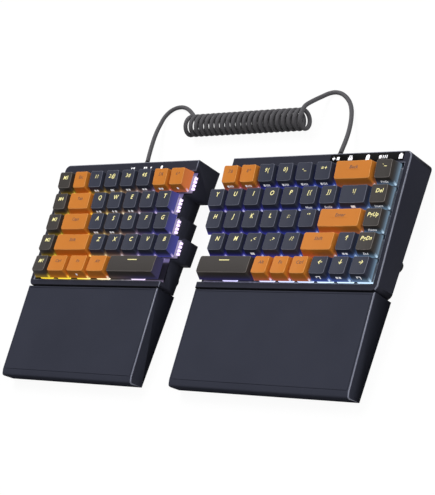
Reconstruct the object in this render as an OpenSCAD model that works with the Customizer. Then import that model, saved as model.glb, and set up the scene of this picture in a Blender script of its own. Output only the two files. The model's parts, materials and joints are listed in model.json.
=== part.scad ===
// Split keyboard: two case halves with keys, two magnetic wrist rests and a coiled link cord.
// Front is -Y, the desk is z = 0, and the origin is the middle of the footprint without the cord.

/* [Layout] */
// Centre distance of neighbouring one-unit keys
key_pitch = 19.05; // [18.5:0.05:19.5]
// Space between the key blocks of the two halves
split_gap = 38.95; // [32:0.05:80]
// Slope of the top plane towards the user, in degrees
typing_angle = 4.5; // [3:0.5:6]

/* [Case] */
// Height of the top plane above the desk at the case's front edge
front_height = 21.8; // [21:0.1:26]
// Rim between the outermost keys and the outer side
side_rim = 5.6; // [4.6:0.1:8]
// Rim in front of the keys
front_rim = 6.1; // [5.5:0.1:10]
// Rim behind the keys
back_rim = 10.3; // [9.8:0.1:14]
// Wall beyond the last key of a row on the split side
split_rim = 0.3; // [0.2:0.1:1.5]
// Wall beyond the space key on the split side
space_rim = 1.9; // [1:0.1:3]
// Thickness of the case walls
case_wall = 1.8; // [1.4:0.1:1.9]
// Radius of the outer upright corners
corner_radius = 5; // [2:0.5:6]
// Gap between the key block and the raised rim
window_gap = 0.6; // [0.4:0.1:1]
// Thickness of the bottom cover
cover_thick = 2.5; // [2:0.1:3]
// Gap round the bottom cover
cover_gap = 0.2; // [0.1:0.05:0.4]
// Height of the walls' lower edge above the desk
wall_lift = 3.4; // [2.6:0.1:4.2]
// Height of the rubber feet under the case
foot_height = 2.2; // [1.6:0.1:2.5]
// Radius of the rubber feet under the case
foot_radius = 5.2; // [4:0.2:6]
// Distance of the outer front foot's middle from the case's side
front_foot_inset = 6.2; // [6:0.1:12]
// Distance of the split-side front foot's middle from the case's side
split_foot_inset = 8; // [6:0.5:14]
// Distance of the outer front foot from the case's front
outer_foot_setback = 28.5; // [20:0.5:36]
// Distance of the split-side front foot from the case's front
split_foot_setback = 13; // [12:0.5:20]
// Distance of the back feet's middle from the case's back and sides
back_foot_inset = 14; // [12:0.5:20]

/* [Fasteners] */
// Radius of the screw bosses
boss_radius = 3; // [2.6:0.1:3.4]
// How far a boss sinks into its wall
boss_sink = 0.8; // [0.6:0.1:1.2]
// Distance of the back wall's middle screw from the cord socket
screw_offset = 24; // [16:1:34]
// Gap between a boss and the circuit board
boss_gap = 0.4; // [0.2:0.1:0.8]
// Radius of the screw shank
screw_radius = 1.2; // [1:0.05:1.3]
// Length of screw above the bottom cover
screw_bite = 3.6; // [3:0.1:4]
// Radius of the screw head
screw_head_radius = 2.4; // [2:0.1:2.6]
// Height of the screw head
screw_head_height = 1.3; // [1:0.1:1.4]
// Radial clearance of screws and heads
screw_gap = 0.2; // [0.1:0.05:0.3]
// Radial clearance of the thread in its boss
thread_gap = 0.15; // [0.1:0.01:0.2]

/* [Switches] */
// Depth of the switch plate's top below the rim's top
plate_drop = 5.2; // [5:0.1:5.6]
// Thickness of the switch plate
plate_thick = 1.5; // [1.2:0.1:1.6]
// Gap round the switch plate
plate_gap = 0.15; // [0.1:0.05:0.2]
// Side of a switch's square hole in the plate
switch_hole = 14; // [13.8:0.1:14.2]
// Clearance of the switch body in its hole, per side
switch_gap = 0.2; // [0.1:0.05:0.3]
// Depth of the switch body below the plate's top
switch_drop = 5; // [4.6:0.1:5.4]
// Side of the switch's flange on the plate
flange_size = 15.4; // [15:0.1:15.8]
// Thickness of the switch's flange
flange_thick = 1; // [0.8:0.1:1.1]
// Side of the switch's lower step above the flange
step_size = 13.2; // [12.8:0.1:13.4]
// Height of the lower step above the plate
step_height = 2.6; // [2:0.1:2.8]
// Side of the switch's top
crown_size = 10.8; // [10:0.1:11]
// Height of the switch's top above the plate
crown_height = 5; // [4.6:0.1:5.2]
// Side of the square well in which the slider runs
well_size = 7.6; // [7.2:0.1:8]
// Thickness of the well's floor
well_floor = 1; // [0.8:0.1:1.2]
// Running clearance of a slider in its well, per side
slider_gap = 0.3; // [0.2:0.05:0.4]
// Length of the slider's body
slider_length = 5.1; // [4.6:0.1:5.2]
// Travel of a key
key_travel = 4; // [3:0.1:4]
// Outer radius of a spring
spring_radius = 2.4; // [2:0.1:2.8]
// Wire thickness of a spring
spring_wire = 0.5; // [0.3:0.1:0.7]
// Gap left above a bottomed-out spring
spring_gap = 0.1; // [0.05:0.05:0.3]
// Thickness of the circuit board
board_thick = 1.6; // [1.2:0.1:2]
// Gap round the circuit board
board_gap = 0.4; // [0.3:0.1:0.8]
// Setback of the board's front edge from the first keys
board_setback = 0.9; // [0.5:0.1:1.1]

/* [Stabilizers] */
// Distance of the guides from the middle of a two-unit key
short_guide_reach = 11.94; // [11.8:0.02:12.2]
// Distance of the guides from the middle of a space key
long_guide_reach = 19.05; // [18:0.05:20]
// Width of a guide housing
guide_width = 7.2; // [7:0.1:7.4]
// Depth of a guide housing
guide_depth = 12; // [11.4:0.1:12.2]
// Clearance of a guide housing in the plate, per side
guide_gap = 0.2; // [0.1:0.05:0.3]
// Width of a guide's well
guide_well = 5.2; // [5:0.1:5.4]
// Depth of a guide's well from front to back
guide_well_depth = 6.2; // [5.8:0.1:6.6]
// Radius of the torsion bar
bar_radius = 0.8; // [0.6:0.05:0.9]
// Distance of the torsion bar in front of the key's middle
bar_setback = 8; // [7.8:0.1:8.4]
// Depth of the torsion bar below the plate
bar_drop = 1.6; // [1.55:0.05:1.8]
// Wall of the clip round the torsion bar
bar_clip = 0.7; // [0.5:0.1:0.8]

/* [Key caps] */
// Gap between neighbouring caps
cap_gap = 1.3; // [1:0.1:1.6]
// Height of the caps' lower edge above the rim's top
cap_base = 0.2; // [0.2:0.1:1.6]
// How far each side of a cap leans in
cap_side_taper = 1.75; // [1.2:0.05:2.8]
// How far the front of a cap leans back
cap_front_taper = 3.4; // [2.5:0.1:3.6]
// How far the back of a cap leans forward
cap_back_taper = 0.4; // [0.2:0.1:1.6]
// Wall of a cap
cap_wall = 1.3; // [1:0.1:1.4]
// Least thickness of a cap's top
cap_roof = 1.2; // [1:0.1:1.4]
// Depth of the hollow in a cap's top
dish_depth = 0.6; // [0.3:0.1:0.8]
// Height of the cap's front top edge in the number row
row1_height = 8.6; // [8:0.1:9.2]
// Height of the cap's front top edge in the top letter row
row2_height = 7; // [6.8:0.1:7.8]
// Height of the cap's front top edge in the home row
row3_height = 7.3; // [6.9:0.1:8]
// Height of the cap's front top edge in the bottom letter row
row4_height = 8.2; // [7.7:0.1:8.8]
// Height of the cap's front top edge in the space row
row5_height = 8.4; // [8:0.1:9]
// Rise of the cap's top in the number row, in degrees
row1_tilt = 6; // [0:1:8]
// Rise of the cap's top in the top letter row, in degrees
row2_tilt = 3; // [0:1:6]
// Rise of the cap's top in the home row, in degrees
row3_tilt = 1; // [-1:1:4]
// Rise of the cap's top in the bottom letter row, in degrees
row4_tilt = -2; // [-4:1:2]
// Rise of the cap's top in the space row, in degrees
row5_tilt = -4; // [-5:1:0]
// Radius of the post under a cap
post_radius = 2.75; // [2.6:0.05:2.9]
// Radius of the posts over the stabilizer guides
guide_post_radius = 2.2; // [2.1:0.05:2.3]
// Length of a slider's cross
cross_length = 4; // [3.6:0.1:4.2]
// Length of a stabilizer slider's cross
guide_cross_length = 3.2; // [3:0.1:3.3]
// Thickness of a slider's cross
cross_thick = 1.1; // [0.9:0.05:1.2]
// Height of a slider's cross
cross_height = 3.6; // [3:0.1:3.8]
// Clearance of the cross in its post, per side
cross_gap = 0.05; // [0.03:0.01:0.08]
// Height of a slider's shoulder above the rim's top, at rest
shoulder_height = 1.2; // [1:0.1:1.4]

/* [Status window] */
// Length of the status window
window_length = 70; // [50:1:76]
// Depth of the status window from front to back
window_depth = 6.7; // [5:0.1:7]
// Thickness of the status window
window_thick = 1.2; // [0.8:0.1:1.6]
// Distance of the window's outer end from the outermost keys' edge
window_inset = 1.2; // [0.5:0.1:6]
// Distance of the window's back edge from the case's back
window_setback = 1.2; // [1.1:0.1:2.2]
// Clearance round the status window
window_fit = 0.1; // [0.05:0.05:0.2]

/* [Wrist rests] */
// Length of a wrist rest from front to back
rest_depth = 80.6; // [60:0.1:100]
// Reach of a rest beyond the outermost keys' edge
rest_side = 4.7; // [3:0.1:8]
// Reach of a rest beyond the space key's end
rest_split = 1.3; // [0.5:0.1:3]
// Gap between the case and a wrist rest
rest_gap = 0.4; // [0.3:0.1:0.8]
// Distance of the crease from the rest's front edge
rest_crease = 5; // [4:0.5:8]
// Radius of the rest's rounded front edge
nose_radius = 2.2; // [1.5:0.1:3.5]
// Drop of the front edge below the top plane
nose_drop = 0.7; // [0.4:0.1:1.2]
// Lean of the rest's front under the nose, in degrees
nose_lean = 7; // [4:1:16]
// Depth of the solid front of a rest
nose_depth = 14; // [12:0.5:20]
// Wall of the rest shell
rest_wall = 2.2; // [1.8:0.1:3]
// Thickness of the rest's top
rest_roof = 2.4; // [1.8:0.1:3]
// Thickness of the rest's bottom plate
rest_floor = 2; // [1.5:0.1:2.5]
// Gap round the rest's bottom plate
rest_floor_gap = 0.2; // [0.1:0.05:0.4]
// Height of the rest's rubber feet
rest_foot_height = 1.2; // [0.8:0.1:2]
// Radius of the rest's rubber feet
rest_foot_radius = 4.5; // [3:0.5:6]
// Distance of the rest's feet from its sides and back
rest_foot_inset = 9; // [7:0.5:14]
// Distance of the rest's front feet from its front edge
rest_foot_setback = 16; // [15:0.5:24]

/* [Magnets] */
// Radius of the magnets
magnet_radius = 3; // [2.5:0.1:3.2]
// Thickness of the magnets
magnet_thick = 2; // [1.5:0.1:2.2]
// Clearance round a magnet and in front of it
magnet_gap = 0.1; // [0.05:0.05:0.15]
// Wall round and behind a magnet
magnet_wall = 1.2; // [1:0.1:1.3]
// Depth of the magnets' middle below the top plane
magnet_drop = 12; // [11.6:0.1:12.4]
// Distance of the magnets from the ends of the front wall
magnet_inset = 28; // [20:1:40]

/* [Sockets and cord] */
// Distance of the left half's cord socket from its outermost keys' edge
left_socket_inset = 71.8; // [60:0.1:90]
// Distance of the right half's cord socket from its outermost keys' edge
right_socket_inset = 80.2; // [60:0.1:100]
// Distance of the host socket outside the left half's cord socket
host_socket_offset = 34; // [25:1:40]
// Depth of the sockets' middle below the top plane
socket_drop = 19.5; // [18:0.1:20.5]
// Width of a socket's shell
socket_width = 8.94; // [8.9:0.02:9.2]
// Height of a socket's shell
socket_height = 3.26; // [3.2:0.02:3.4]
// Length of a socket's shell
socket_length = 7.3; // [7:0.1:8]
// Wall of a socket's shell
socket_wall = 0.3; // [0.25:0.01:0.32]
// Setback of a socket from the case's back
socket_setback = 0.6; // [0.4:0.1:1]
// Gap round a socket in the case's back wall
socket_gap = 0.2; // [0.1:0.05:0.3]
// Width of a socket's tongue
tongue_width = 6.6; // [6.4:0.1:6.7]
// Thickness of a socket's tongue
tongue_thick = 0.7; // [0.6:0.05:0.8]
// Thickness of a socket's back
socket_back = 0.8; // [0.6:0.1:1]
// Clearance of a plug in its socket, per side
plug_gap = 0.08; // [0.05:0.01:0.1]
// Wall of a plug's shell
plug_wall = 0.4; // [0.3:0.05:0.45]
// Length of a plug's shell inside its socket
plug_reach = 6; // [5:0.1:6.2]
// Gap between a plug's grip and the case
grip_gap = 0.3; // [0.2:0.1:0.6]
// Width of a plug's grip
grip_width = 10.8; // [10:0.1:13]
// Height of a plug's grip
grip_height = 6; // [5.6:0.1:7]
// Length of a plug's grip
grip_length = 6; // [5:0.5:12]
// Length of the tapered strain relief
relief_length = 4; // [3:0.5:10]
// Radius of the strain relief at the grip
relief_radius = 2.6; // [2.4:0.1:2.8]
// Diameter of the cord
cord_diameter = 3.6; // [3.2:0.1:4.4]
// Turns of the coil
coil_turns = 21.5; // [19.5:1:23.5]
// Distance of one turn of the coil from the next
coil_pitch = 6; // [5.4:0.05:6.4]
// Radius of the coil at the middle of the cord
coil_radius = 7.8; // [7:0.05:9]

/* [Hidden] */
$fn = 48;
// Size of cutting blocks, depth of blocks below the top plane, and how far a cut runs past a face
SPAN = 1000;
DEEP = 60;
EXTRA = 1;
DISH_SIDES = 240;

CASE_COLOUR = [0.16, 0.17, 0.21];
NAVY = [0.20, 0.22, 0.29];
ORANGE = [0.80, 0.46, 0.16];
BROWN = [0.24, 0.22, 0.21];
STEEL = [0.62, 0.63, 0.65];
BLACK = [0.06, 0.06, 0.07];
BOARD = [0.05, 0.16, 0.10];
CLEAR = [0.80, 0.82, 0.88];

// Key widths of each row in key units, from the outer side towards the split
LEFT_ROWS = [
    [1, 1, 1, 1, 1, 1, 1, 1],
    [1, 1.5, 1, 1, 1, 1, 1],
    [1, 1.75, 1, 1, 1, 1, 1],
    [1, 2.25, 1, 1, 1, 1, 1],
    [1, 1.25, 1.25, 1.25, 3]
];
RIGHT_ROWS = [
    [1, 2, 1, 1, 1, 1, 1, 1],
    [1, 1.5, 1, 1, 1, 1, 1, 1, 1],
    [1, 2.25, 1, 1, 1, 1, 1, 1],
    [1, 1, 1.75, 1, 1, 1, 1, 1],
    [1, 1, 1, 1, 1, 1, 3]
];
// Units from which a key has stabilizers, and units of a space key
WIDE_UNITS = 2;
SPACE_UNITS = 3;
ROW_COUNT = len(LEFT_ROWS);
ROW_HEIGHTS = [row1_height, row2_height, row3_height, row4_height, row5_height];
ROW_TILTS = [row1_tilt, row2_tilt, row3_tilt, row4_tilt, row5_tilt];

function total(list, count) = count == 0 ? 0 : list[count - 1] + total(list, count - 1);
function rows_of(side) = side == "left" ? LEFT_ROWS : RIGHT_ROWS;
function row_of(side, row) = rows_of(side)[row - 1];
function row_end(side, row) = total(row_of(side, row), len(row_of(side, row))) * key_pitch;
function row_front(row) = front_rim + (ROW_COUNT - row) * key_pitch;
function key_start(side, row, index) = total(row_of(side, row), index) * key_pitch;
function all_keys(side) =
    [for (row = [1:ROW_COUNT]) for (index = [0:len(row_of(side, row)) - 1]) [row, index]];
function run(row, first, last) = [for (index = [first:last]) [row, index]];

grid_depth = ROW_COUNT * key_pitch;
grid_half = (row_end("left", 1) + row_end("right", 1) + split_gap) / 2;
case_depth = front_rim + grid_depth + back_rim;
rest_far = rest_gap + rest_depth;
nose_y = -(rest_far - nose_radius);
nose_z = -(nose_drop + nose_radius);

// Heights in the plate frame, whose z = 0 is the top plane and whose y = 0 is the case's front edge
plate_top = -plate_drop;
board_top = plate_top - switch_drop;
board_bottom = board_top - board_thick;
well_bottom = board_top + well_floor;
slider_bottom = shoulder_height - slider_length;
spring_height = slider_bottom - key_travel - spring_gap - well_bottom;

// From the plate frame to the desk's frame, before the footprint is centred
function desk_y(y, z) = y * cos(typing_angle) - z * sin(typing_angle);
function desk_z(y, z) = front_height + y * sin(typing_angle) + z * cos(typing_angle);
function z_at_height(y, height) = (height - front_height - y * sin(typing_angle)) / cos(typing_angle);

back_reach = desk_y(case_depth, z_at_height(case_depth, wall_lift));
front_reach = desk_y(nose_y, nose_z) - nose_radius;
case_front_y = -(back_reach + front_reach) / 2;
function floor_y(y, height) = case_front_y + desk_y(y, z_at_height(y, height));

cover_top = foot_height + cover_thick;
screw_line = case_wall + boss_radius - boss_sink;
function rest_width(side) = rest_side + row_end(side, ROW_COUNT) + rest_split;
function socket_inset(side) = side == "left" ? left_socket_inset : right_socket_inset;
function sockets_of(side) =
    side == "left" ? [left_socket_inset, left_socket_inset - host_socket_offset] : [right_socket_inset];

// The rows' bands from front to back: start, end and how far each reaches towards the split
function bands(side) = concat(
    [[0, row_front(ROW_COUNT) + key_pitch, row_end(side, ROW_COUNT) + space_rim]],
    [for (row = [ROW_COUNT - 1:-1:1])
        [row_front(row), row_front(row) + key_pitch, row_end(side, row) + split_rim]],
    [[front_rim + grid_depth, case_depth, row_end(side, 1) + split_rim]]
);

function screw_places(side) = let (
    outer = -side_rim + screw_line,
    front_end = row_end(side, ROW_COUNT) + space_rim - screw_line,
    back_end = row_end(side, 1) + split_rim - screw_line,
    back = case_depth - screw_line
) [
    [outer, screw_line], [front_end / 2, screw_line], [front_end, screw_line],
    [outer, back], [socket_inset(side) + screw_offset, back], [back_end, back]
];

function foot_places(side) = let (
    front_end = row_end(side, ROW_COUNT) + space_rim - split_foot_inset,
    back_end = row_end(side, 1) + split_rim - back_foot_inset,
    back = case_depth - back_foot_inset
) [
    [front_foot_inset - side_rim, outer_foot_setback], [front_end, split_foot_setback],
    [back_foot_inset - side_rim, back], [back_end, back]
];

function rest_foot_places(side) = [
    for (x = [rest_foot_inset - rest_side, rest_width(side) - rest_side - rest_foot_inset])
        for (y = [-(rest_gap + rest_foot_inset), rest_foot_setback - rest_far]) [x, y]
];

function magnet_places(side) = [magnet_inset - rest_side, rest_width(side) - rest_side - magnet_inset];
function is_wide(units) = units >= WIDE_UNITS;
function guide_reach(units) = units >= SPACE_UNITS ? long_guide_reach : short_guide_reach;

// The cord's route: the lead from the left plug, the coil, and the lead to the right plug
cord_radius = cord_diameter / 2;
cord_lift = cord_radius + 0.1;
coil_start = -77.3;
coil_y = 141;
coil_z = cord_lift + coil_radius;
coil_end = coil_start + coil_turns * coil_pitch;
CURL_RINGS = 8;
CURL_SIDES = 6;
LEAD_SIDES = 8;
PLUG_AXIS = [0, cos(typing_angle), sin(typing_angle)];

relief_end = case_depth + grip_gap + grip_length + relief_length;
function plug_end(side) = [
    side == "left" ? socket_inset(side) - grid_half : grid_half - socket_inset(side),
    case_front_y + desk_y(relief_end, -socket_drop),
    desk_z(relief_end, -socket_drop)
];

LEFT_LEAD = [
    plug_end("left"), [-111, 113, 11.6], [-113.3, 121.5, 10.4], [-115.8, 130.6, 8.8],
    [-118.2, 139.8, 6.6], [-119.8, 148.6, 4.2], [-119.8, 156, 2.7], [-116.6, 161.9, cord_lift],
    [-110.5, 165, cord_lift], [-103, 165.5, cord_lift], [-95.6, 163.1, cord_lift],
    [-88.6, 158.4, cord_lift], [-82.8, 153, cord_lift], [-79, 148.8, cord_lift],
    [coil_start, coil_y + cord_diameter, cord_lift]
];
RIGHT_LEAD = [
    [coil_end, coil_y + cord_diameter, coil_z + coil_radius], [52.2, 149.4, 16.4], [53.2, 154.3, 13.2],
    [54.4, 159.2, 9.4], [56.2, 164, 5.6], [59.6, 167.9, 3.1], [64.8, 169.4, cord_lift],
    [71.6, 167.8, cord_lift], [78, 164, cord_lift], [83.6, 158.6, cord_lift], [88.3, 151.8, 2.7],
    [92.2, 144, 4.1], [95.8, 135.4, 6.2], [98.9, 126.2, 8.6], [100.8, 116.6, 10.7], plug_end("right")
];
COIL_STEPS = coil_turns * CURL_RINGS;
COIL_PATH = concat(
    [[coil_start, coil_y + cord_diameter, coil_z - coil_radius]],
    [for (i = [0:COIL_STEPS]) let (turn = -90 - i * 360 / CURL_RINGS) [
        coil_start + i * coil_pitch / CURL_RINGS,
        coil_y + coil_radius * cos(turn),
        coil_z + coil_radius * sin(turn)
    ]],
    [[coil_end, coil_y + cord_diameter, coil_z + coil_radius]]
);

// Places and cutting blocks

// Puts children from the plate frame into the desk's frame
module on_plate() {
    translate([0, case_front_y, front_height]) rotate([typing_angle, 0, 0]) children();
}

// Puts children whose x runs from a half's outermost keys' edge towards the split
module at_half(side) {
    if (side == "left") translate([-grid_half, 0, 0]) children();
    else translate([grid_half, 0, 0]) mirror([1, 0, 0]) children();
}

module in_half(side) {
    on_plate() at_half(side) children();
}

module at_key(side, place) {
    in_half(side) translate([key_start(side, place[0], place[1]), row_front(place[0]), 0]) children();
}

// Everything above a height over the desk
module above(height) {
    translate([-SPAN / 2, -SPAN / 2, height]) cube(SPAN);
}

// Everything below a height in the plate frame
module under_plate(z) {
    on_plate() translate([-SPAN / 2, -SPAN / 2, z - SPAN]) cube(SPAN);
}

module centred_block(width, depth, low, high) {
    translate([-width / 2, -depth / 2, low]) cube([width, depth, high - low]);
}

// A flat slot with round ends, lying across its length
module slot(width, height) {
    square([width - height, height], center = true);
    for (end = [-1, 1]) translate([end * (width - height) / 2, 0]) circle(d = height);
}

// A slot swept back along y from a start
module slot_run(width, height, start, length) {
    translate([0, start, 0]) rotate([-90, 0, 0]) linear_extrude(length) slot(width, height);
}

// Case halves

module corner_cut(radius) {
    difference() {
        translate([-EXTRA, -EXTRA]) square(radius + EXTRA);
        translate([radius, radius]) circle(radius);
    }
}

// Plan of a half, drawn in from its edge by an inset
module half_outline(side, inset) {
    list = bands(side);
    near = inset - side_rim;
    radius = corner_radius - inset;
    difference() {
        union() {
            for (band = list) {
                translate([near, band[0] + inset])
                    square([band[2] - inset - near, band[1] - band[0] - 2 * inset]);
            }
            for (i = [0:len(list) - 2]) {
                reach = min(list[i][2], list[i + 1][2]) - inset;
                translate([near, list[i][0] + inset])
                    square([reach - near, list[i + 1][1] - list[i][0] - 2 * inset]);
            }
        }
        if (radius > 0) {
            translate([near, inset]) corner_cut(radius);
            translate([near, case_depth - inset]) mirror([0, 1]) corner_cut(radius);
        }
    }
}

module half_slab(side, inset, low, high) {
    in_half(side) translate([0, 0, low]) linear_extrude(high - low) half_outline(side, inset);
}

module case_block(side) {
    intersection() {
        half_slab(side, 0, -DEEP, 0);
        above(wall_lift);
    }
}

// Opening over the switch plate: framed by the rim, and open towards the split
module key_window(side) {
    in_half(side) translate([-window_gap, front_rim - window_gap, plate_top])
        cube([SPAN, grid_depth + 2 * window_gap, DEEP]);
}

module at_screws(side) {
    for (place = screw_places(side)) {
        at_half(side) translate([place[0], floor_y(place[1], cover_top), 0]) children();
    }
}

module screw_head_room(side) {
    at_screws(side) cylinder(r = screw_head_radius + screw_gap, h = foot_height + screw_head_height);
}

module screw_bosses(side) {
    intersection() {
        at_screws(side) translate([0, 0, cover_top]) cylinder(r = boss_radius, h = DEEP);
        under_plate(board_bottom - boss_gap);
        case_block(side);
    }
}

// A round form behind a magnet face, from the face at y into the wall
module at_magnets(side, y, turn) {
    in_half(side) for (x = magnet_places(side)) {
        translate([x, y, -magnet_drop]) rotate([turn, 0, 0]) children();
    }
}

module magnet_housing() {
    cylinder(r = magnet_radius + magnet_gap + magnet_wall, h = magnet_thick + 2 * magnet_gap + magnet_wall);
}

module magnet_pocket() {
    translate([0, 0, -EXTRA])
        cylinder(r = magnet_radius + magnet_gap, h = EXTRA + magnet_thick + 2 * magnet_gap);
}

module magnet() {
    translate([0, 0, magnet_gap]) cylinder(r = magnet_radius, h = magnet_thick);
}

module at_sockets(side) {
    in_half(side) for (x = sockets_of(side)) translate([x, 0, -socket_drop]) children();
}

module window_block(side, grow) {
    front = case_depth - window_setback - window_depth;
    in_half(side) translate([window_inset - grow, front - grow, -window_thick])
        cube([window_length + 2 * grow, window_depth + 2 * grow, window_thick + grow]);
}

module upper_case(side) {
    socket_hole = [socket_width + 2 * socket_gap, socket_height + 2 * socket_gap];
    color(CASE_COLOUR) difference() {
        union() {
            difference() {
                case_block(side);
                half_slab(side, case_wall, -DEEP, plate_top);
            }
            screw_bosses(side);
            at_magnets(side, 0, -90) magnet_housing();
        }
        key_window(side);
        at_screws(side) cylinder(r = screw_radius + thread_gap, h = cover_top + screw_bite + screw_gap);
        screw_head_room(side);
        at_magnets(side, 0, -90) magnet_pocket();
        at_sockets(side) slot_run(socket_hole[0], socket_hole[1], case_depth - 2 * case_wall, SPAN);
        if (side == "right") window_block(side, window_fit);
    }
}

module bottom_cover(side) {
    shelf_depth = socket_length + socket_setback - case_wall - cover_gap;
    color(CASE_COLOUR) difference() {
        union() {
            difference() {
                intersection() {
                    half_slab(side, case_wall + cover_gap, -DEEP, plate_top);
                    above(foot_height);
                }
                above(cover_top);
            }
            intersection() {
                at_sockets(side)
                    translate([-socket_width / 2, case_depth - socket_setback - socket_length, -DEEP])
                        cube([socket_width, shelf_depth, DEEP - socket_height / 2]);
                above(foot_height);
            }
        }
        at_screws(side) cylinder(r = screw_radius + screw_gap, h = DEEP);
        screw_head_room(side);
    }
}

module case_screws(side) {
    color(STEEL) at_screws(side) {
        translate([0, 0, foot_height]) cylinder(r = screw_head_radius, h = screw_head_height);
        translate([0, 0, foot_height + screw_head_height / 2])
            cylinder(r = screw_radius, h = cover_thick - screw_head_height / 2 + screw_bite);
    }
}

module case_feet(side) {
    color(BLACK) for (place = foot_places(side)) {
        at_half(side) translate([place[0], floor_y(place[1], foot_height), 0])
            cylinder(r = foot_radius, h = foot_height);
    }
}

module case_magnets(side) {
    color(STEEL) at_magnets(side, 0, -90) magnet();
}

// Sockets of the cord: a shell with a tongue inside
module ports(side) {
    shell_start = case_depth - socket_setback - socket_length;
    inside = socket_length - socket_back;
    bore = [socket_width - 2 * socket_wall, socket_height - 2 * socket_wall];
    color(STEEL) at_sockets(side) {
        difference() {
            slot_run(socket_width, socket_height, shell_start, socket_length);
            slot_run(bore[0], bore[1], shell_start + socket_back, SPAN);
        }
        translate([-tongue_width / 2, shell_start + socket_back / 2, -tongue_thick / 2])
            cube([tongue_width, inside - socket_setback, tongue_thick]);
    }
}

module status_window() {
    color(BLACK) window_block("right", 0);
}

// Switches

module switch_plate(side) {
    color(STEEL) difference() {
        half_slab(side, case_wall + plate_gap, plate_top - plate_thick, plate_top);
        for (place = all_keys(side)) {
            units = row_of(side, place[0])[place[1]];
            at_key(side, place) translate([units * key_pitch / 2, key_pitch / 2, 0]) {
                centred_block(switch_hole, switch_hole, -DEEP, 0);
                if (is_wide(units)) at_guides(units)
                    centred_block(guide_width + 2 * guide_gap, guide_depth + 2 * guide_gap, -DEEP, 0);
            }
        }
    }
}

module circuit_board(side) {
    color(BOARD) intersection() {
        half_slab(side, case_wall + board_gap, board_bottom, board_top);
        in_half(side) translate([-SPAN / 2, front_rim - board_setback, -DEEP]) cube([SPAN, SPAN, DEEP]);
    }
}

module at_switches(side) {
    for (place = all_keys(side)) {
        units = row_of(side, place[0])[place[1]];
        at_key(side, place) translate([units * key_pitch / 2, key_pitch / 2, 0]) children();
    }
}

module switch_housings(side) {
    body = switch_hole - 2 * switch_gap;
    color(CLEAR) at_switches(side) difference() {
        union() {
            centred_block(body, body, board_top, plate_top);
            centred_block(flange_size, flange_size, plate_top, plate_top + flange_thick);
            centred_block(step_size, step_size, plate_top, plate_top + step_height);
            centred_block(crown_size, crown_size, plate_top, plate_top + crown_height);
        }
        centred_block(well_size, well_size, well_bottom, DEEP);
    }
}

// Springs at the length that they have when the key is down
module switch_springs(side) {
    color(STEEL) at_switches(side) translate([0, 0, well_bottom]) difference() {
        cylinder(r = spring_radius, h = spring_height);
        translate([0, 0, -EXTRA]) cylinder(r = spring_radius - spring_wire, h = spring_height + 2 * EXTRA);
    }
}

module at_guides(units) {
    for (end = [-1, 1]) translate([end * guide_reach(units), 0, 0]) children();
}

module guide_housing() {
    clip = bar_radius + bar_clip;
    bar_z = plate_top - plate_thick - bar_drop;
    difference() {
        union() {
            centred_block(guide_width, guide_depth, board_top, plate_top + step_height);
            translate([-guide_width / 2, -bar_setback - clip, bar_z - clip])
                cube([guide_width, bar_setback + clip - guide_depth / 2 + bar_clip, 2 * clip]);
        }
        centred_block(guide_well, guide_well_depth, well_bottom, DEEP);
        translate([-SPAN / 2, -bar_setback, bar_z]) rotate([0, 90, 0])
            cylinder(r = bar_radius + cross_gap, h = SPAN);
    }
}

module stabilizers(side) {
    bar_z = plate_top - plate_thick - bar_drop;
    color(BLACK) for (place = all_keys(side)) {
        units = row_of(side, place[0])[place[1]];
        half_bar = guide_reach(units) + guide_width / 2;
        if (is_wide(units)) at_key(side, place) translate([units * key_pitch / 2, key_pitch / 2, 0]) {
            at_guides(units) guide_housing();
            translate([-half_bar, -bar_setback, bar_z]) rotate([0, 90, 0])
                cylinder(r = bar_radius, h = 2 * half_bar);
        }
    }
}

// Keys

// A cap's outer or inner form: sides and front lean in, and the top runs between two heights
module cap_form(width, depth, front, back, inset, low, front_top, back_top) {
    side_lean = cap_side_taper / front;
    front_lean = cap_front_taper / front;
    back_lean = cap_back_taper / back;
    high = max(front_top, back_top) + EXTRA;
    intersection() {
        translate([0, depth, 0]) rotate([90, 0, 0]) linear_extrude(depth) polygon([
            [inset + side_lean * low, low], [width - inset - side_lean * low, low],
            [width - inset - side_lean * high, high], [inset + side_lean * high, high]
        ]);
        rotate([90, 0, 90]) linear_extrude(width) polygon([
            [inset + front_lean * low, low], [depth - inset - back_lean * low, low],
            [depth - inset - back_lean * back_top, back_top], [inset + front_lean * front_top, front_top]
        ]);
    }
}

// Hollow of a cap's top, as wide as the top
module dish(width, front, tilt) {
    half_top = width / 2 - cap_side_taper;
    radius = (half_top * half_top + dish_depth * dish_depth) / (2 * dish_depth);
    translate([width / 2, cap_front_taper, front]) rotate([tilt, 0, 0])
        translate([0, -SPAN / 2, radius - dish_depth]) rotate([-90, 0, 0])
            cylinder(r = radius, h = SPAN, $fn = DISH_SIDES);
}

module cross_block(length, thick, low, high) {
    centred_block(length, thick, low, high);
    centred_block(thick, length, low, high);
}

module post(radius, length, roof) {
    low = shoulder_height + cross_gap;
    difference() {
        translate([0, 0, low]) cylinder(r = radius, h = roof - low);
        cross_block(length + 2 * cross_gap, cross_thick + 2 * cross_gap, low - EXTRA, low + cross_height);
    }
}

module cap(units, row) {
    width = units * key_pitch - cap_gap;
    depth = key_pitch - cap_gap;
    front = ROW_HEIGHTS[row - 1];
    tilt = ROW_TILTS[row - 1];
    back = front + tan(tilt) * (depth - cap_front_taper - cap_back_taper);
    roof = min(front, back) - dish_depth - cap_roof;
    translate([cap_gap / 2, cap_gap / 2, cap_base]) difference() {
        cap_form(width, depth, front, back, 0, 0, front, back);
        cap_form(width, depth, front, back, cap_wall, -EXTRA, roof, roof);
        if (units < SPACE_UNITS) dish(width, front, tilt);
    }
    post_top = cap_base + roof + cap_roof / 2;
    translate([units * key_pitch / 2, key_pitch / 2, 0]) {
        post(post_radius, cross_length, post_top);
        if (is_wide(units)) at_guides(units) post(guide_post_radius, guide_cross_length, post_top);
    }
}

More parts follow.
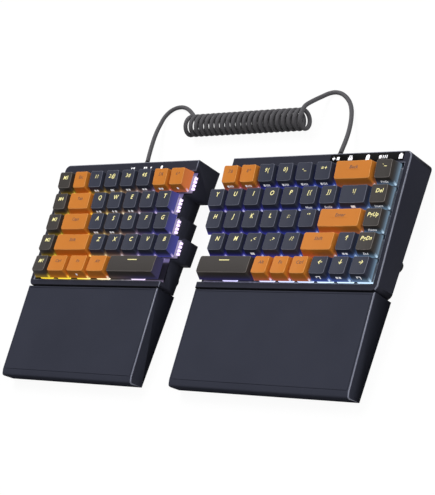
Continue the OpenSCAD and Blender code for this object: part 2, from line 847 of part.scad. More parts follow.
module slider(width, depth, length) {
    centred_block(width, depth, slider_bottom, shoulder_height);
    cross_block(length, cross_thick, shoulder_height - EXTRA, shoulder_height + cross_height);
}

module key(units, row) {
    cap(units, row);
    translate([units * key_pitch / 2, key_pitch / 2, 0]) {
        slider(well_size - 2 * slider_gap, well_size - 2 * slider_gap, cross_length);
        if (is_wide(units)) at_guides(units)
            slider(guide_well - 2 * slider_gap, guide_well_depth - 2 * slider_gap, guide_cross_length);
    }
}

module key_bank(side, places, colour) {
    color(colour) for (place = places) {
        at_key(side, place) key(row_of(side, place[0])[place[1]], place[0]);
    }
}

// Wrist rests

// Side view of a rest: flat top, crease, round nose and a front that leans in underneath
module rest_profile() {
    crease_y = rest_crease - rest_far;
    reach = [crease_y - nose_y, -nose_z];
    top_turn = atan2(reach[1], reach[0]) + acos(nose_radius / norm(reach));
    low_y = nose_y - nose_radius * cos(nose_lean);
    low_z = nose_z - nose_radius * sin(nose_lean);
    polygon([
        [-rest_gap, 0], [-rest_gap, -DEEP], [low_y + (DEEP + low_z) * tan(nose_lean), -DEEP],
        [low_y, low_z], [nose_y, nose_z],
        [nose_y + nose_radius * cos(top_turn), nose_z + nose_radius * sin(top_turn)], [crease_y, 0]
    ]);
    translate([nose_y, nose_z]) circle(nose_radius);
}

module rest_hollow(side, gap) {
    width = rest_width(side) - 2 * (rest_wall + gap);
    depth = rest_depth - nose_depth - rest_wall - 2 * gap;
    in_half(side) translate([rest_wall + gap - rest_side, nose_depth - rest_far + gap, -DEEP])
        cube([width, depth, DEEP - rest_roof]);
}

module rest_shell(side) {
    color(CASE_COLOUR) difference() {
        union() {
            difference() {
                intersection() {
                    in_half(side) translate([-rest_side, 0, 0]) rotate([90, 0, 90])
                        linear_extrude(rest_width(side)) rest_profile();
                    above(rest_foot_height);
                }
                rest_hollow(side, 0);
            }
            at_magnets(side, -rest_gap, 90) magnet_housing();
        }
        at_magnets(side, -rest_gap, 90) magnet_pocket();
    }
}

module rest_bottom(side) {
    color(CASE_COLOUR) difference() {
        intersection() {
            rest_hollow(side, rest_floor_gap);
            above(rest_foot_height);
        }
        above(rest_foot_height + rest_floor);
    }
}

module rest_feet(side) {
    color(BLACK) for (place = rest_foot_places(side)) {
        at_half(side) translate([place[0], floor_y(place[1], rest_foot_height), 0])
            cylinder(r = rest_foot_radius, h = rest_foot_height);
    }
}

module rest_magnets(side) {
    color(STEEL) at_magnets(side, -rest_gap, 90) magnet();
}

// Link cord

module cord_plug(side) {
    shell_width = socket_width - 2 * (socket_wall + plug_gap);
    shell_height = socket_height - 2 * (socket_wall + plug_gap);
    shell_start = case_depth - socket_setback - plug_reach;
    grip_start = case_depth + grip_gap;
    color(BLACK) in_half(side) translate([socket_inset(side), 0, -socket_drop]) {
        difference() {
            slot_run(shell_width, shell_height, shell_start, grip_start - shell_start);
            slot_run(shell_width - 2 * plug_wall, shell_height - 2 * plug_wall, shell_start - EXTRA,
                grip_start - shell_start);
        }
        slot_run(grip_width, grip_height, grip_start, grip_length);
        translate([0, grip_start + grip_length, 0]) rotate([-90, 0, 0])
            cylinder(r1 = relief_radius, r2 = cord_radius, h = relief_length);
    }
}

function unit(v) = v / norm(v);
function headings(path, first, last) = [
    for (i = [0:len(path) - 1])
        i == 0 ? first : i == len(path) - 1 ? last : unit(path[i + 1] - path[i - 1])
];

// A tube of flat-sided rings along a path, closed at both ends
module tube(path, first, last, radius, sides, upward) {
    headed = headings(path, first, last);
    final = (len(path) - 1) * sides;
    points = [
        for (i = [0:len(path) - 1])
            let (across = unit(cross(headed[i], upward)), lift = cross(across, headed[i]))
                for (k = [0:sides - 1])
                    path[i] + radius * (cos(360 * k / sides) * across + sin(360 * k / sides) * lift)
    ];
    walls = [
        for (i = [0:len(path) - 2]) for (k = [0:sides - 1])
            let (a = i * sides + k, b = i * sides + (k + 1) % sides)
                each [[a, b, b + sides], [a, b + sides, a + sides]]
    ];
    ends = [for (k = [1:sides - 2]) each [[0, k + 1, k], [final, final + k, final + k + 1]]];
    polyhedron(points, concat(walls, ends));
}

module left_cord_lead() {
    color(BLACK) tube(LEFT_LEAD, PLUG_AXIS, [0, -1, 0], cord_radius, LEAD_SIDES, [0, 0, 1]);
}

module right_cord_lead() {
    color(BLACK) tube(RIGHT_LEAD, [0, 1, 0], -PLUG_AXIS, cord_radius, LEAD_SIDES, [0, 0, 1]);
}

module cord_coil() {
    half_turn = CURL_RINGS / 2;
    least = min([
        for (i = [0:len(COIL_PATH) - 1 - half_turn]) for (j = [i + half_turn:len(COIL_PATH) - 1])
            norm(COIL_PATH[i] - COIL_PATH[j])
    ]);
    echo(str("least gap between the coil's turns, mm: ", least - cord_diameter));
    color(BLACK) tube(COIL_PATH, [0, -1, 0], [0, 1, 0], cord_radius, CURL_SIDES, [1, 0, 0]);
}

// Sub-parts of the two halves, the rests and the cord

module left_upper_case() { upper_case("left"); }
module left_bottom_cover() { bottom_cover("left"); }
module left_switch_plate() { switch_plate("left"); }
module left_circuit_board() { circuit_board("left"); }
module left_switch_housings() { switch_housings("left"); }
module left_switch_springs() { switch_springs("left"); }
module left_stabilizers() { stabilizers("left"); }
module left_case_screws() { case_screws("left"); }
module left_case_feet() { case_feet("left"); }
module left_case_magnets() { case_magnets("left"); }
module left_ports() { ports("left"); }
module right_upper_case() { upper_case("right"); }
module right_bottom_cover() { bottom_cover("right"); }
module right_switch_plate() { switch_plate("right"); }
module right_circuit_board() { circuit_board("right"); }
module right_switch_housings() { switch_housings("right"); }
module right_switch_springs() { switch_springs("right"); }
module right_stabilizers() { stabilizers("right"); }
module right_case_screws() { case_screws("right"); }
module right_case_feet() { case_feet("right"); }
module right_case_magnets() { case_magnets("right"); }
module right_port() { ports("right"); }
module left_rest_shell() { rest_shell("left"); }
module left_rest_bottom() { rest_bottom("left"); }
module left_rest_feet() { rest_feet("left"); }
module left_rest_magnets() { rest_magnets("left"); }
module right_rest_shell() { rest_shell("right"); }
module right_rest_bottom() { rest_bottom("right"); }
module right_rest_feet() { rest_feet("right"); }
module right_rest_magnets() { rest_magnets("right"); }
module left_cord_plug() { cord_plug("left"); }
module right_cord_plug() { cord_plug("right"); }

// Keys of the left half, counted from its outer side
module macro_keys() { key_bank("left", [for (row = [1:ROW_COUNT]) [row, 0]], BROWN); }
module escape_key() { key_bank("left", run(1, 1, 1), ORANGE); }
module left_number_keys() { key_bank("left", run(1, 2, 5), NAVY); }
module left_accent_keys() { key_bank("left", run(1, 6, 7), ORANGE); }
module tab_key() { key_bank("left", run(2, 1, 1), ORANGE); }
module qwert_keys() { key_bank("left", run(2, 2, 6), NAVY); }
module caps_key() { key_bank("left", run(3, 1, 1), ORANGE); }
module asdfg_keys() { key_bank("left", run(3, 2, 6), NAVY); }
module left_shift_key() { key_bank("left", run(4, 1, 1), ORANGE); }
module zxcvb_keys() { key_bank("left", run(4, 2, 6), NAVY); }
module left_modifier_keys() { key_bank("left", run(5, 1, 3), ORANGE); }
module left_space_key() { key_bank("left", run(5, 4, 4), BROWN); }

// Keys of the right half, counted from its outer side
module right_accent_keys() { key_bank("right", run(1, 6, 7), ORANGE); }
module right_number_keys() { key_bank("right", run(1, 2, 5), NAVY); }
module backspace_key() { key_bank("right", run(1, 1, 1), ORANGE); }
module navigation_keys() { key_bank("right", [for (row = [1:ROW_COUNT - 1]) [row, 0]], BROWN); }
module yuiop_keys() { key_bank("right", run(2, 1, 8), NAVY); }
module hjkl_keys() { key_bank("right", run(3, 2, 7), NAVY); }
module enter_key() { key_bank("right", run(3, 1, 1), ORANGE); }
module nm_keys() { key_bank("right", run(4, 3, 7), NAVY); }
module right_shift_key() { key_bank("right", run(4, 2, 2), ORANGE); }
module arrow_keys() { key_bank("right", concat(run(4, 1, 1), run(5, 0, 2)), NAVY); }
module right_modifier_keys() { key_bank("right", run(5, 3, 5), ORANGE); }
module right_space_key() { key_bank("right", run(5, 6, 6), BROWN); }

left_upper_case();
left_bottom_cover();
left_switch_plate();
left_circuit_board();
left_switch_housings();
left_switch_springs();
left_stabilizers();
left_case_screws();
left_case_feet();
left_case_magnets();
left_ports();
right_upper_case();
right_bottom_cover();
right_switch_plate();
right_circuit_board();
right_switch_housings();
right_switch_springs();
right_stabilizers();
right_case_screws();
right_case_feet();
right_case_magnets();
right_port();
status_window();
left_rest_shell();
left_rest_bottom();
left_rest_feet();
left_rest_magnets();
right_rest_shell();
right_rest_bottom();
right_rest_feet();
right_rest_magnets();
left_cord_plug();
left_cord_lead();
cord_coil();
right_cord_lead();
right_cord_plug();
macro_keys();
escape_key();
left_number_keys();
left_accent_keys();
tab_key();
qwert_keys();
caps_key();
asdfg_keys();
left_shift_key();
zxcvb_keys();
left_modifier_keys();
left_space_key();
right_accent_keys();
right_number_keys();
backspace_key();
navigation_keys();
yuiop_keys();
hjkl_keys();
enter_key();
nm_keys();
right_shift_key();
arrow_keys();
right_modifier_keys();
right_space_key();
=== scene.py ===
"""Dresses the split keyboard: finishes, caps with legends, backlight, wrist rests and the coiled cord."""

import json
import logging
import math
from collections.abc import Callable, Iterable, Sequence
from dataclasses import dataclass, field
from enum import Enum
from typing import NamedTuple

import bmesh
import bpy
from mathutils import Matrix, Vector


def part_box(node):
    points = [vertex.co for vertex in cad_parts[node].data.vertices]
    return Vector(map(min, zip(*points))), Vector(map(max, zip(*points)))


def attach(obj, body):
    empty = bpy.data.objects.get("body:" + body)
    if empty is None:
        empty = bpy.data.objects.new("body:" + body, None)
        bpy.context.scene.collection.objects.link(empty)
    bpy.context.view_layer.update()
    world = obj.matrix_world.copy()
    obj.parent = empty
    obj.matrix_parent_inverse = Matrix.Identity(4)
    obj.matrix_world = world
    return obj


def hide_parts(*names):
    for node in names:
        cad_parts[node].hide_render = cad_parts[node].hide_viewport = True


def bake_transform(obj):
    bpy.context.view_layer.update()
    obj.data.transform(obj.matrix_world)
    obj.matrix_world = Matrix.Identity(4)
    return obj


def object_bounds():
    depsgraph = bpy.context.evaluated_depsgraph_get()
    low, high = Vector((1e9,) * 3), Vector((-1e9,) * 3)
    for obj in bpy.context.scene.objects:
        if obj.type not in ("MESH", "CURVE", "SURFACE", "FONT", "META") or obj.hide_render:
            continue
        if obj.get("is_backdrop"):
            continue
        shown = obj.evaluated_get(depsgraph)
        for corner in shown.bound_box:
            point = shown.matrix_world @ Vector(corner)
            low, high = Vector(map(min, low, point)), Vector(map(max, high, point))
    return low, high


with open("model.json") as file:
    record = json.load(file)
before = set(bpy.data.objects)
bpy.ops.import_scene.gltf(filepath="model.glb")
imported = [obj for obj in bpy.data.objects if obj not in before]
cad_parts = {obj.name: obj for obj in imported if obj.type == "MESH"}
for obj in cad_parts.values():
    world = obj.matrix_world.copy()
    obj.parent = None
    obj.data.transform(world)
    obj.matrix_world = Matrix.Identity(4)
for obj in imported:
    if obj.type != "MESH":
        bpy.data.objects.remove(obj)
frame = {"nodes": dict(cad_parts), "record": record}
CAD_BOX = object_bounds()

MM = 0.001
GLOW = "glow"
Colour = tuple[float, float, float, float]
Flat = tuple[float, float]
Printed = tuple[list[Vector], list[tuple[int, ...]]]
WHITE: Colour = (1, 1, 1, 1)
NO_LIGHT: Colour = (0, 0, 0, 1)
SNUG = 0.02              # mm; points this near a plane lie on it
CRISP = 30.0             # degrees; small stepped parts are sharp where they turn more
WIDE_KEY = 2             # key units from which a cap has guides beside its stem
SPACE_KEY = 3            # key units from which a cap is a space key
log = logging.getLogger("keyboard")


def linear(red: int, green: int, blue: int) -> Colour:
    """The linear colour of an sRGB triple.

    Args:
        red: Red from 0 to 255.
        green: Green from 0 to 255.
        blue: Blue from 0 to 255.

    Returns:
        The colour that a shader socket takes, with full alpha.
    """
    def channel(value: int) -> float:
        """One channel from sRGB to linear light."""
        share = value / 255
        return share / 12.92 if share <= 0.04045 else ((share + 0.055) / 1.055) ** 2.4

    return (channel(red), channel(green), channel(blue), 1.0)


class Side(Enum):
    """The two halves of the keyboard; the value is the sign of a half's outward direction along x."""

    LEFT = -1
    RIGHT = 1

    @property
    def word(self) -> str:
        """The half's name in the frame."""
        return self.name.lower()


class Tone(Enum):
    """The three colours of the key caps; the value is the record's material slot."""

    NAVY = "navy_cap"
    ORANGE = "orange_cap"
    GREY = "grey_cap"


class Mark(Enum):
    """Small printed signs, each a set of upright rectangles: left, low, right and high edge in mm."""

    NONE = ()
    DASH = ((-5.2, -0.35, 5.2, 0.35),)
    BARS = ((-2.6, -0.8, -1.2, 0.8), (-0.5, -0.8, 0.0, 0.8), (0.6, -0.8, 1.1, 0.8), (1.7, -0.8, 2.2, 0.8))
    TWINS = ((-1.9, -0.7, -0.3, 0.7), (0.3, -0.7, 1.9, 0.7))
    HOOK = ((-1.5, -0.3, -0.9, 1.1), (-1.5, 0.7, 1.5, 1.1), (0.9, -1.1, 1.5, 1.1))
    BLOCK = ((-1.5, -0.8, 1.5, 0.8),)
    LINK = ((-2.2, -0.3, -0.4, 0.3), (-1.5, -0.9, -1.1, 0.9), (0.6, -0.8, 2.2, 0.8))
    LOCK = ((-1.3, -1.1, 1.3, 0.3), (-0.9, 0.3, -0.4, 1.2), (0.4, 0.3, 0.9, 1.2), (-0.9, 0.9, 0.9, 1.3))
    CELL = ((-1.1, -1.3, 1.1, 1.0), (-0.5, 1.0, 0.5, 1.5))
    DOT = ((-0.7, -0.7, 0.7, 0.7),)


class Key(NamedTuple):
    """One key: its row from the back, its place from the outer side, its legend and its front mark."""

    row: int
    index: int
    legend: str
    front: Mark = Mark.NONE
    front_word: str = ""


@dataclass(frozen=True)
class Layout:
    """Where the keys and planes lie, in millimetres. The plate frame has z = 0 at the cases' top plane."""

    key_pitch: float = 19.05
    typing_angle: float = 4.5
    front_height: float = 21.8
    side_rim: float = 5.6
    front_rim: float = 6.1
    back_rim: float = 10.3
    plate_drop: float = 5.2
    case_front: float = 0.0
    grid_half: float = 0.0
    left_rows: tuple = (
        (1, 1, 1, 1, 1, 1, 1, 1),
        (1, 1.5, 1, 1, 1, 1, 1),
        (1, 1.75, 1, 1, 1, 1, 1),
        (1, 2.25, 1, 1, 1, 1, 1),
        (1, 1.25, 1.25, 1.25, 3),
    )
    right_rows: tuple = (
        (1, 2, 1, 1, 1, 1, 1, 1),
        (1, 1.5, 1, 1, 1, 1, 1, 1, 1),
        (1, 2.25, 1, 1, 1, 1, 1, 1),
        (1, 1, 1.75, 1, 1, 1, 1, 1),
        (1, 1, 1, 1, 1, 1, 3),
    )

    @classmethod
    def from_frame(cls) -> "Layout":
        """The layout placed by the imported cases' own corners."""
        low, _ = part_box("left_upper_case")
        _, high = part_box("right_upper_case")
        return cls(case_front=low.y / MM, grid_half=high.x / MM - cls.side_rim)

    @property
    def case_depth(self) -> float:
        """Depth of a case along the plate."""
        return self.front_rim + len(self.left_rows) * self.key_pitch + self.back_rim

    @property
    def to_model(self) -> Matrix:
        """From the plate frame in millimetres to the model in metres."""
        lift = Matrix.Translation((0, self.case_front, self.front_height))
        return Matrix.Scale(MM, 4) @ lift @ Matrix.Rotation(math.radians(self.typing_angle), 4, "X")

    def rows(self, side: Side) -> tuple:
        """Key widths of a half's rows, in key units."""
        return self.left_rows if side is Side.LEFT else self.right_rows

    def across(self, side: Side, distance: float) -> float:
        """x of a distance from a half's outermost keys' edge towards the split."""
        return side.value * (self.grid_half - distance)

    def row_front(self, row: int) -> float:
        """y of a row's front edge, with row 1 at the back."""
        return self.front_rim + (len(self.left_rows) - row) * self.key_pitch

    def units(self, side: Side, row: int, index: int) -> float:
        """Width of a key in key units."""
        return self.rows(side)[row - 1][index]

    def key_x(self, side: Side, row: int, index: int) -> float:
        """x of a key's middle."""
        widths = self.rows(side)[row - 1]
        return self.across(side, (sum(widths[:index]) + widths[index] / 2) * self.key_pitch)

    def every_key(self, side: Side) -> list[tuple[int, int]]:
        """Row and place of each key of a half."""
        rows = enumerate(self.rows(side), start=1)
        return [(row, index) for row, widths in rows for index in range(len(widths))]

    def row_end(self, side: Side, row: int) -> float:
        """Distance of a row's split end from the outermost keys' edge."""
        return sum(self.rows(side)[row - 1]) * self.key_pitch


LAYOUT = Layout.from_frame()


class Wire:
    """An output socket of a shader tree that takes part in Python arithmetic."""

    def __init__(self, graph: "Graph", socket: bpy.types.NodeSocket) -> None:
        """Wraps a socket of a graph."""
        self.graph = graph
        self.socket = socket

    def _math(self, operation: str, first: "Wire | float", second: "Wire | float") -> "Wire":
        """Adds one Math node for two values."""
        return self.graph.add("ShaderNodeMath", {"operation": operation}, {0: first, 1: second})

    def __add__(self, other: "Wire | float") -> "Wire":
        """self + other."""
        return self._math("ADD", self, other)

    def __radd__(self, other: float) -> "Wire":
        """other + self."""
        return self._math("ADD", other, self)

    def __sub__(self, other: "Wire | float") -> "Wire":
        """self - other."""
        return self._math("SUBTRACT", self, other)

    def __rsub__(self, other: float) -> "Wire":
        """other - self."""
        return self._math("SUBTRACT", other, self)

    def __mul__(self, other: "Wire | float") -> "Wire":
        """self * other."""
        return self._math("MULTIPLY", self, other)

    def __rmul__(self, other: float) -> "Wire":
        """other * self."""
        return self._math("MULTIPLY", other, self)

    def least(self, other: "Wire | float") -> "Wire":
        """The smaller of two values."""
        return self._math("MINIMUM", self, other)

    def most(self, other: "Wire | float") -> "Wire":
        """The larger of two values."""
        return self._math("MAXIMUM", self, other)

    def within(self) -> "Wire":
        """The value held between 0 and 1."""
        return self.most(0.0).least(1.0)

    def wave(self, length: float) -> "Wire":
        """Distance to the nearest multiple of a length."""
        return self._math("PINGPONG", self, length / 2)

    def ramp(self, start: float, end: float) -> "Wire":
        """0 at the start and 1 at the end, held outside."""
        return ((self - start) * (1 / (end - start))).within()


class Graph:
    """A shader tree that is built one node at a time."""

    def __init__(self, tree: bpy.types.NodeTree) -> None:
        """Empties a tree and takes it over."""
        tree.nodes.clear()
        self.tree = tree

    @staticmethod
    def _socket(sockets: Iterable, key: int | str) -> bpy.types.NodeSocket:
        """A socket by its place, identifier or name."""
        if isinstance(key, int):
            return sockets[key]
        return next((s for s in sockets if s.identifier == key), None) or sockets[key]

    def add(self, kind: str, settings: dict | None = None, sockets: dict | None = None,
            output: int | str | None = 0) -> Wire | None:
        """Adds a node.

        Args:
            kind: The node's type.
            settings: Properties that are set first; "stops" is a colour ramp's list of place and colour.
            sockets: Values or wires for the node's inputs, by place, identifier or name.
            output: The output to return, or None for a node without one.

        Returns:
            The chosen output as a wire.
        """
        node = self.tree.nodes.new(kind)
        for name, value in (settings or {}).items():
            if name == "stops":
                self._set_stops(node.color_ramp, value)
            else:
                setattr(node, name, value)
        for key, value in (sockets or {}).items():
            target = self._socket(node.inputs, key)
            if isinstance(value, Wire):
                self.tree.links.new(value.socket, target)
            else:
                target.default_value = value
        return None if output is None else Wire(self, self._socket(node.outputs, output))

    @staticmethod
    def _set_stops(ramp: bpy.types.ColorRamp, stops: Sequence[tuple[float, Colour]]) -> None:
        """Gives a colour ramp its stops."""
        while len(ramp.elements) < len(stops):
            ramp.elements.new(1.0)
        for element, (place, colour) in zip(ramp.elements, stops):
            element.position = place
            element.color = colour

    def mix(self, share: Wire | float, first: Wire | Colour, second: Wire | Colour) -> Wire:
        """A colour between two, by a share."""
        return self.add("ShaderNodeMix", {"data_type": "RGBA"},
                        {"Factor_Float": share, "A_Color": first, "B_Color": second}, "Result_Color")

    def noise(self, size: float, detail: float = 2.0,
              stretch: tuple[float, float, float] = (1, 1, 1)) -> Wire:
        """Noise from 0 to 1 on the object's own coordinates.

        Args:
            size: Size of one blotch in millimetres.
            detail: Octaves of finer noise.
            stretch: Scale along each axis.

        Returns:
            The noise value.
        """
        place = self.add("ShaderNodeMapping", {"vector_type": "POINT"},
                         {"Vector": self.place(), "Scale": stretch})
        return self.add("ShaderNodeTexNoise", {"noise_dimensions": "3D"},
                        {"Vector": place, "Scale": 1 / (size * MM), "Detail": detail})

    def place(self) -> Wire:
        """The object's own coordinates, in metres."""
        return self.add("ShaderNodeTexCoord", {}, {}, "Object")

    def axis(self, name: str) -> Wire:
        """One coordinate of the place, in millimetres."""
        return self.add("ShaderNodeSeparateXYZ", {}, {"Vector": self.place()}, name) * (1 / MM)

    def along_plate(self) -> Wire:
        """Distance from the cases' front along the plate, in millimetres."""
        turn = math.radians(LAYOUT.typing_angle)
        level = LAYOUT.front_height * math.sin(turn) + LAYOUT.case_front * math.cos(turn)
        return self.axis("Y") * math.cos(turn) + self.axis("Z") * math.sin(turn) - level

    def bump(self, height: Wire, depth: float) -> Wire:
        """A surface normal from a height of 0 to 1 and a depth in millimetres."""
        return self.add("ShaderNodeBump", {}, {"Height": height, "Strength": 1.0, "Distance": depth * MM},
                        "Normal")


def new_material(name: str, build: Callable[[Graph], dict]) -> bpy.types.Material:
    """Makes a material with one principled shader, or gives the one of that name.

    Args:
        name: The material's name.
        build: Fills a graph and returns the principled shader's sockets.

    Returns:
        The material.
    """
    known = bpy.data.materials.get(name)
    if known:
        return known
    material = bpy.data.materials.new(name)
    material.use_nodes = True
    graph = Graph(material.node_tree)
    shader = graph.add("ShaderNodeBsdfPrincipled", {}, build(graph), "BSDF")
    graph.add("ShaderNodeOutputMaterial", {}, {"Surface": shader}, None)
    return material


class Backlight(Enum):
    """Colours along x in mm, from the left half's outer side to the right half's.

    LAMPS is the light itself, SPILL its spill on dark plastic, and EMBER its spill on orange plastic.
    """

    LAMPS = (
        (-188.0, linear(236, 205, 40)), (-130.0, linear(246, 214, 70)), (-100.0, linear(255, 240, 190)),
        (-84.0, linear(240, 232, 240)), (-60.0, linear(226, 206, 246)), (-28.0, linear(222, 200, 250)),
        (10.0, linear(214, 200, 250)), (70.0, linear(205, 208, 250)), (130.0, linear(205, 225, 255)),
        (188.0, linear(200, 232, 255)),
    )
    SPILL = (
        (-188.0, linear(220, 180, 20)), (-130.0, linear(226, 180, 60)), (-84.0, linear(210, 170, 160)),
        (-56.0, linear(116, 112, 218)), (-28.0, linear(98, 96, 218)), (10.0, linear(84, 70, 220)),
        (90.0, linear(70, 84, 232)), (150.0, linear(90, 130, 250)), (176.0, linear(170, 215, 255)),
        (188.0, linear(190, 230, 255)),
    )
    EMBER = (
        (-188.0, linear(222, 150, 24)), (-90.0, linear(222, 104, 40)), (-58.0, linear(224, 96, 84)),
        (-28.0, linear(222, 92, 96)), (30.0, linear(196, 60, 120)), (100.0, linear(206, 84, 96)),
        (188.0, linear(214, 130, 96)),
    )

    def colour(self, graph: Graph) -> Wire:
        """The colour at a place along x.

        Args:
            graph: The shader tree that takes the colour ramp.

        Returns:
            The ramp's colour.
        """
        low, high = self.value[0][0], self.value[-1][0]
        stops = [((x - low) / (high - low), colour) for x, colour in self.value]
        share = (graph.axis("X") - low) * (1 / (high - low))
        return graph.add("ShaderNodeValToRGB", {"stops": stops}, {"Fac": share}, "Color")


def toned(colour: Colour, factor: float) -> Colour:
    """A colour made darker or lighter by a factor, held at white."""
    return (*(min(1.0, channel * factor) for channel in colour[:3]), 1.0)


@dataclass(frozen=True)
class Finish:
    """A named surface with one principled shader."""

    name: str
    colour: Colour

    def sockets(self, graph: Graph) -> dict:
        """The principled shader's sockets; each kind of finish gives its own."""
        raise NotImplementedError

    def material(self) -> bpy.types.Material:
        """The finished material."""
        return new_material(self.name, self.sockets)


@dataclass(frozen=True)
class Moulded(Finish):
    """A moulded surface: fine grain, slow changes of tone, and a little wear of the gloss."""

    roughness: float = 0.55
    grain: float = 0.35
    depth: float = 0.02
    mottle: float = 0.12
    specular: float = 0.15
    grain_octaves: float = 3.0
    blotch: float = 45.0
    gloss: float = 0.08
    grain_wear: float = 0.1
    blotch_wear: float = 0.06

    def sockets(self, graph: Graph) -> dict:
        """The principled shader's sockets for this surface.

        Args:
            graph: The shader tree that takes the nodes.

        Returns:
            Values and wires by the socket's name.
        """
        fine = graph.noise(self.grain, self.grain_octaves)
        slow = graph.noise(self.blotch)
        dark = toned(self.colour, 1 - self.mottle)
        light = toned(self.colour, 1 + self.mottle)
        return {
            "Base Color": graph.mix(slow, dark, light),
            "Roughness": (self.roughness - self.gloss) + fine * self.grain_wear + slow * self.blotch_wear,
            "Specular IOR Level": self.specular,
            "Normal": graph.bump(fine, self.depth),
        }


@dataclass(frozen=True)
class LitPlastic(Moulded):
    """A surface under the backlight, which shows on it where the mesh's glow attribute says so.

    Up to 1 it is spilt light, from 1 to 2 the lamps themselves, both painted light; below 0, a painted
    highlight turns an edge a paler colour.
    """

    light: Backlight = Backlight.SPILL
    strength: float = 0.34
    worn: Colour = (0.2, 0.2, 0.2, 1.0)

    def sockets(self, graph: Graph) -> dict:
        """The moulded surface with the light on it.

        Args:
            graph: The shader tree that takes the nodes.

        Returns:
            Values and wires by the socket's name.
        """
        made = super().sockets(graph)
        share = graph.add("ShaderNodeAttribute", {"attribute_name": GLOW}, {}, "Fac")
        # painted highlight: where the glow is below 0 the base colour turns paler
        made["Base Color"] = graph.mix((share * -1.0).within(), made["Base Color"], self.worn)
        spilt = graph.mix(share.within() * min(1.0, self.strength), NO_LIGHT, self.light.colour(graph))
        made["Emission Color"] = graph.mix((share - 1.0).within(), spilt, Backlight.LAMPS.colour(graph))
        made["Emission Strength"] = max(1.0, self.strength)
        return made


@dataclass(frozen=True)
class LitPlate(Moulded):
    """The switch plate, which is bright between the rows of keys and dark under them.

    A pair is where a change starts and ends, in millimetres, or for the spark in noise.
    """

    strength: float = 0.8
    dimmest: float = 0.015
    band: Flat = (2.6, 0.8)
    front_band: Flat = (2.0, 6.0)
    end_band: Flat = (4.0, 8.0)
    whole_width: float = 1000.0
    spark_size: float = 7.0
    spark_octaves: float = 1.0
    spark_range: Flat = (0.5, 0.62)
    front_light: float = 0.7
    plain_light: float = 0.45
    least_white: float = 0.5

    def sockets(self, graph: Graph) -> dict:
        """The moulded surface with a band of light between the rows, and lamps that sparkle in it.

        Args:
            graph: The shader tree that takes the nodes.

        Returns:
            Values and wires by the socket's name.
        """
        made = super().sockets(graph)
        from_keys = graph.along_plate() - LAYOUT.front_rim
        behind = from_keys.ramp(*self.front_band)
        off_middle = graph.axis("X").wave(self.whole_width)
        inside = off_middle.ramp(*(LAYOUT.grid_half - reach for reach in self.end_band))
        row_light = behind * (1 - self.front_light) + self.front_light
        near = from_keys.wave(LAYOUT.key_pitch).ramp(*self.band) * row_light * inside
        spark = graph.noise(self.spark_size, self.spark_octaves).ramp(*self.spark_range)
        share = (near * (spark * (1 - self.plain_light) + self.plain_light)).most(inside * self.dimmest)
        white = (spark * near).most(1.0 - behind).most(self.least_white)
        shown = graph.mix(white, Backlight.SPILL.colour(graph), Backlight.LAMPS.colour(graph))
        made["Emission Color"] = graph.mix(share, NO_LIGHT, shown)
        made["Emission Strength"] = self.strength
        return made


@dataclass(frozen=True)
class Metal(Finish):
    """A drawn or plated metal with fine lines along one axis."""

    roughness: float = 0.3
    lines: tuple[float, float, float] = (1, 30, 30)
    line_size: float = 2.0
    line_shade: float = 0.8
    line_wear: float = 0.12
    gloss: float = 0.05

    def sockets(self, graph: Graph) -> dict:
        """The principled shader's sockets for this metal.

        Args:
            graph: The shader tree that takes the nodes.

        Returns:
            Values and wires by the socket's name.
        """
        streak = graph.noise(self.line_size, stretch=self.lines)
        return {
            "Base Color": graph.mix(streak, toned(self.colour, self.line_shade), self.colour),
            "Metallic": 1.0,
            "Roughness": (self.roughness - self.gloss) + streak * self.line_wear,
        }


@dataclass(frozen=True)
class Ink(Finish):
    """A printed or lit legend."""

    shine: float = 0.0
    roughness: float = 0.5
    speck_size: float = 0.5
    speck_shade: float = 0.82
    speck_wear: float = 0.15

    def sockets(self, graph: Graph) -> dict:
        """The principled shader's sockets for this ink.

        Args:
            graph: The shader tree that takes the nodes.

        Returns:
            Values and wires by the socket's name.
        """
        speck = graph.noise(self.speck_size)
        return {
            "Base Color": graph.mix(speck, toned(self.colour, self.speck_shade), self.colour),
            "Roughness": self.roughness + speck * self.speck_wear,
            "Emission Color": self.colour,
            "Emission Strength": self.shine,
        }


CASE_SLATE = Moulded("case_slate", linear(49, 50, 60), roughness=0.5, grain=0.3, depth=0.012, specular=0.01)
# painted highlight: the rounded edges of cases and rests take this paler, glossier colour
CASE_EDGE_PAINTED_HIGHLIGHT = Moulded("case_edge_polish", linear(104, 107, 124), roughness=0.34, depth=0.004, specular=0.5)
REST_SLATE = Moulded("rest_slate", linear(56, 58, 69), roughness=0.52, grain=0.3, depth=0.012, specular=0.0)
# painted shade in the joint between case and rest
JOINT_SHADE = Moulded("joint_shade", linear(20, 20, 24), roughness=0.6, specular=0.02)
COVER_BLACK = Moulded("cover_black", linear(32, 32, 37), roughness=0.6, grain=0.6, depth=0.03)
FOOT_RUBBER = Moulded("foot_rubber", linear(26, 26, 27), roughness=0.8, grain=0.5, depth=0.03)
GUIDE_BLACK = Moulded("guide_black", linear(30, 30, 32), roughness=0.5)
PLUG_BLACK = Moulded("plug_black", linear(26, 26, 28), roughness=0.55, grain=0.3, depth=0.015)
SHEATH_BLACK = Moulded("cord_sheath", linear(90, 89, 92), roughness=0.45, grain=0.5, depth=0.003,
                       specular=0.02)
WINDOW_BLACK = Moulded("window_gloss", linear(4, 4, 5), roughness=0.3, depth=0.0005, mottle=0.05,
                       specular=0.02)
SOLDER_MASK = Moulded("solder_mask", linear(24, 62, 44), roughness=0.35, grain=0.8, depth=0.01)
PLATE_LIT = LitPlate("plate_lit", linear(40, 40, 46), roughness=0.5)
SWITCH_LIT = LitPlastic("switch_lit", linear(120, 120, 130), roughness=0.25, light=Backlight.LAMPS,
                        strength=1.6)
STEEL = Metal("steel", linear(172, 173, 178))
NICKEL = Metal("nickel", linear(206, 204, 198), roughness=0.16)
BLACK_STEEL = Metal("black_steel", linear(88, 88, 92), roughness=0.38)
WARM_INK = Ink("legend_warm", linear(232, 222, 152), shine=0.35)
DARK_INK = Ink("legend_dark", linear(112, 66, 34))
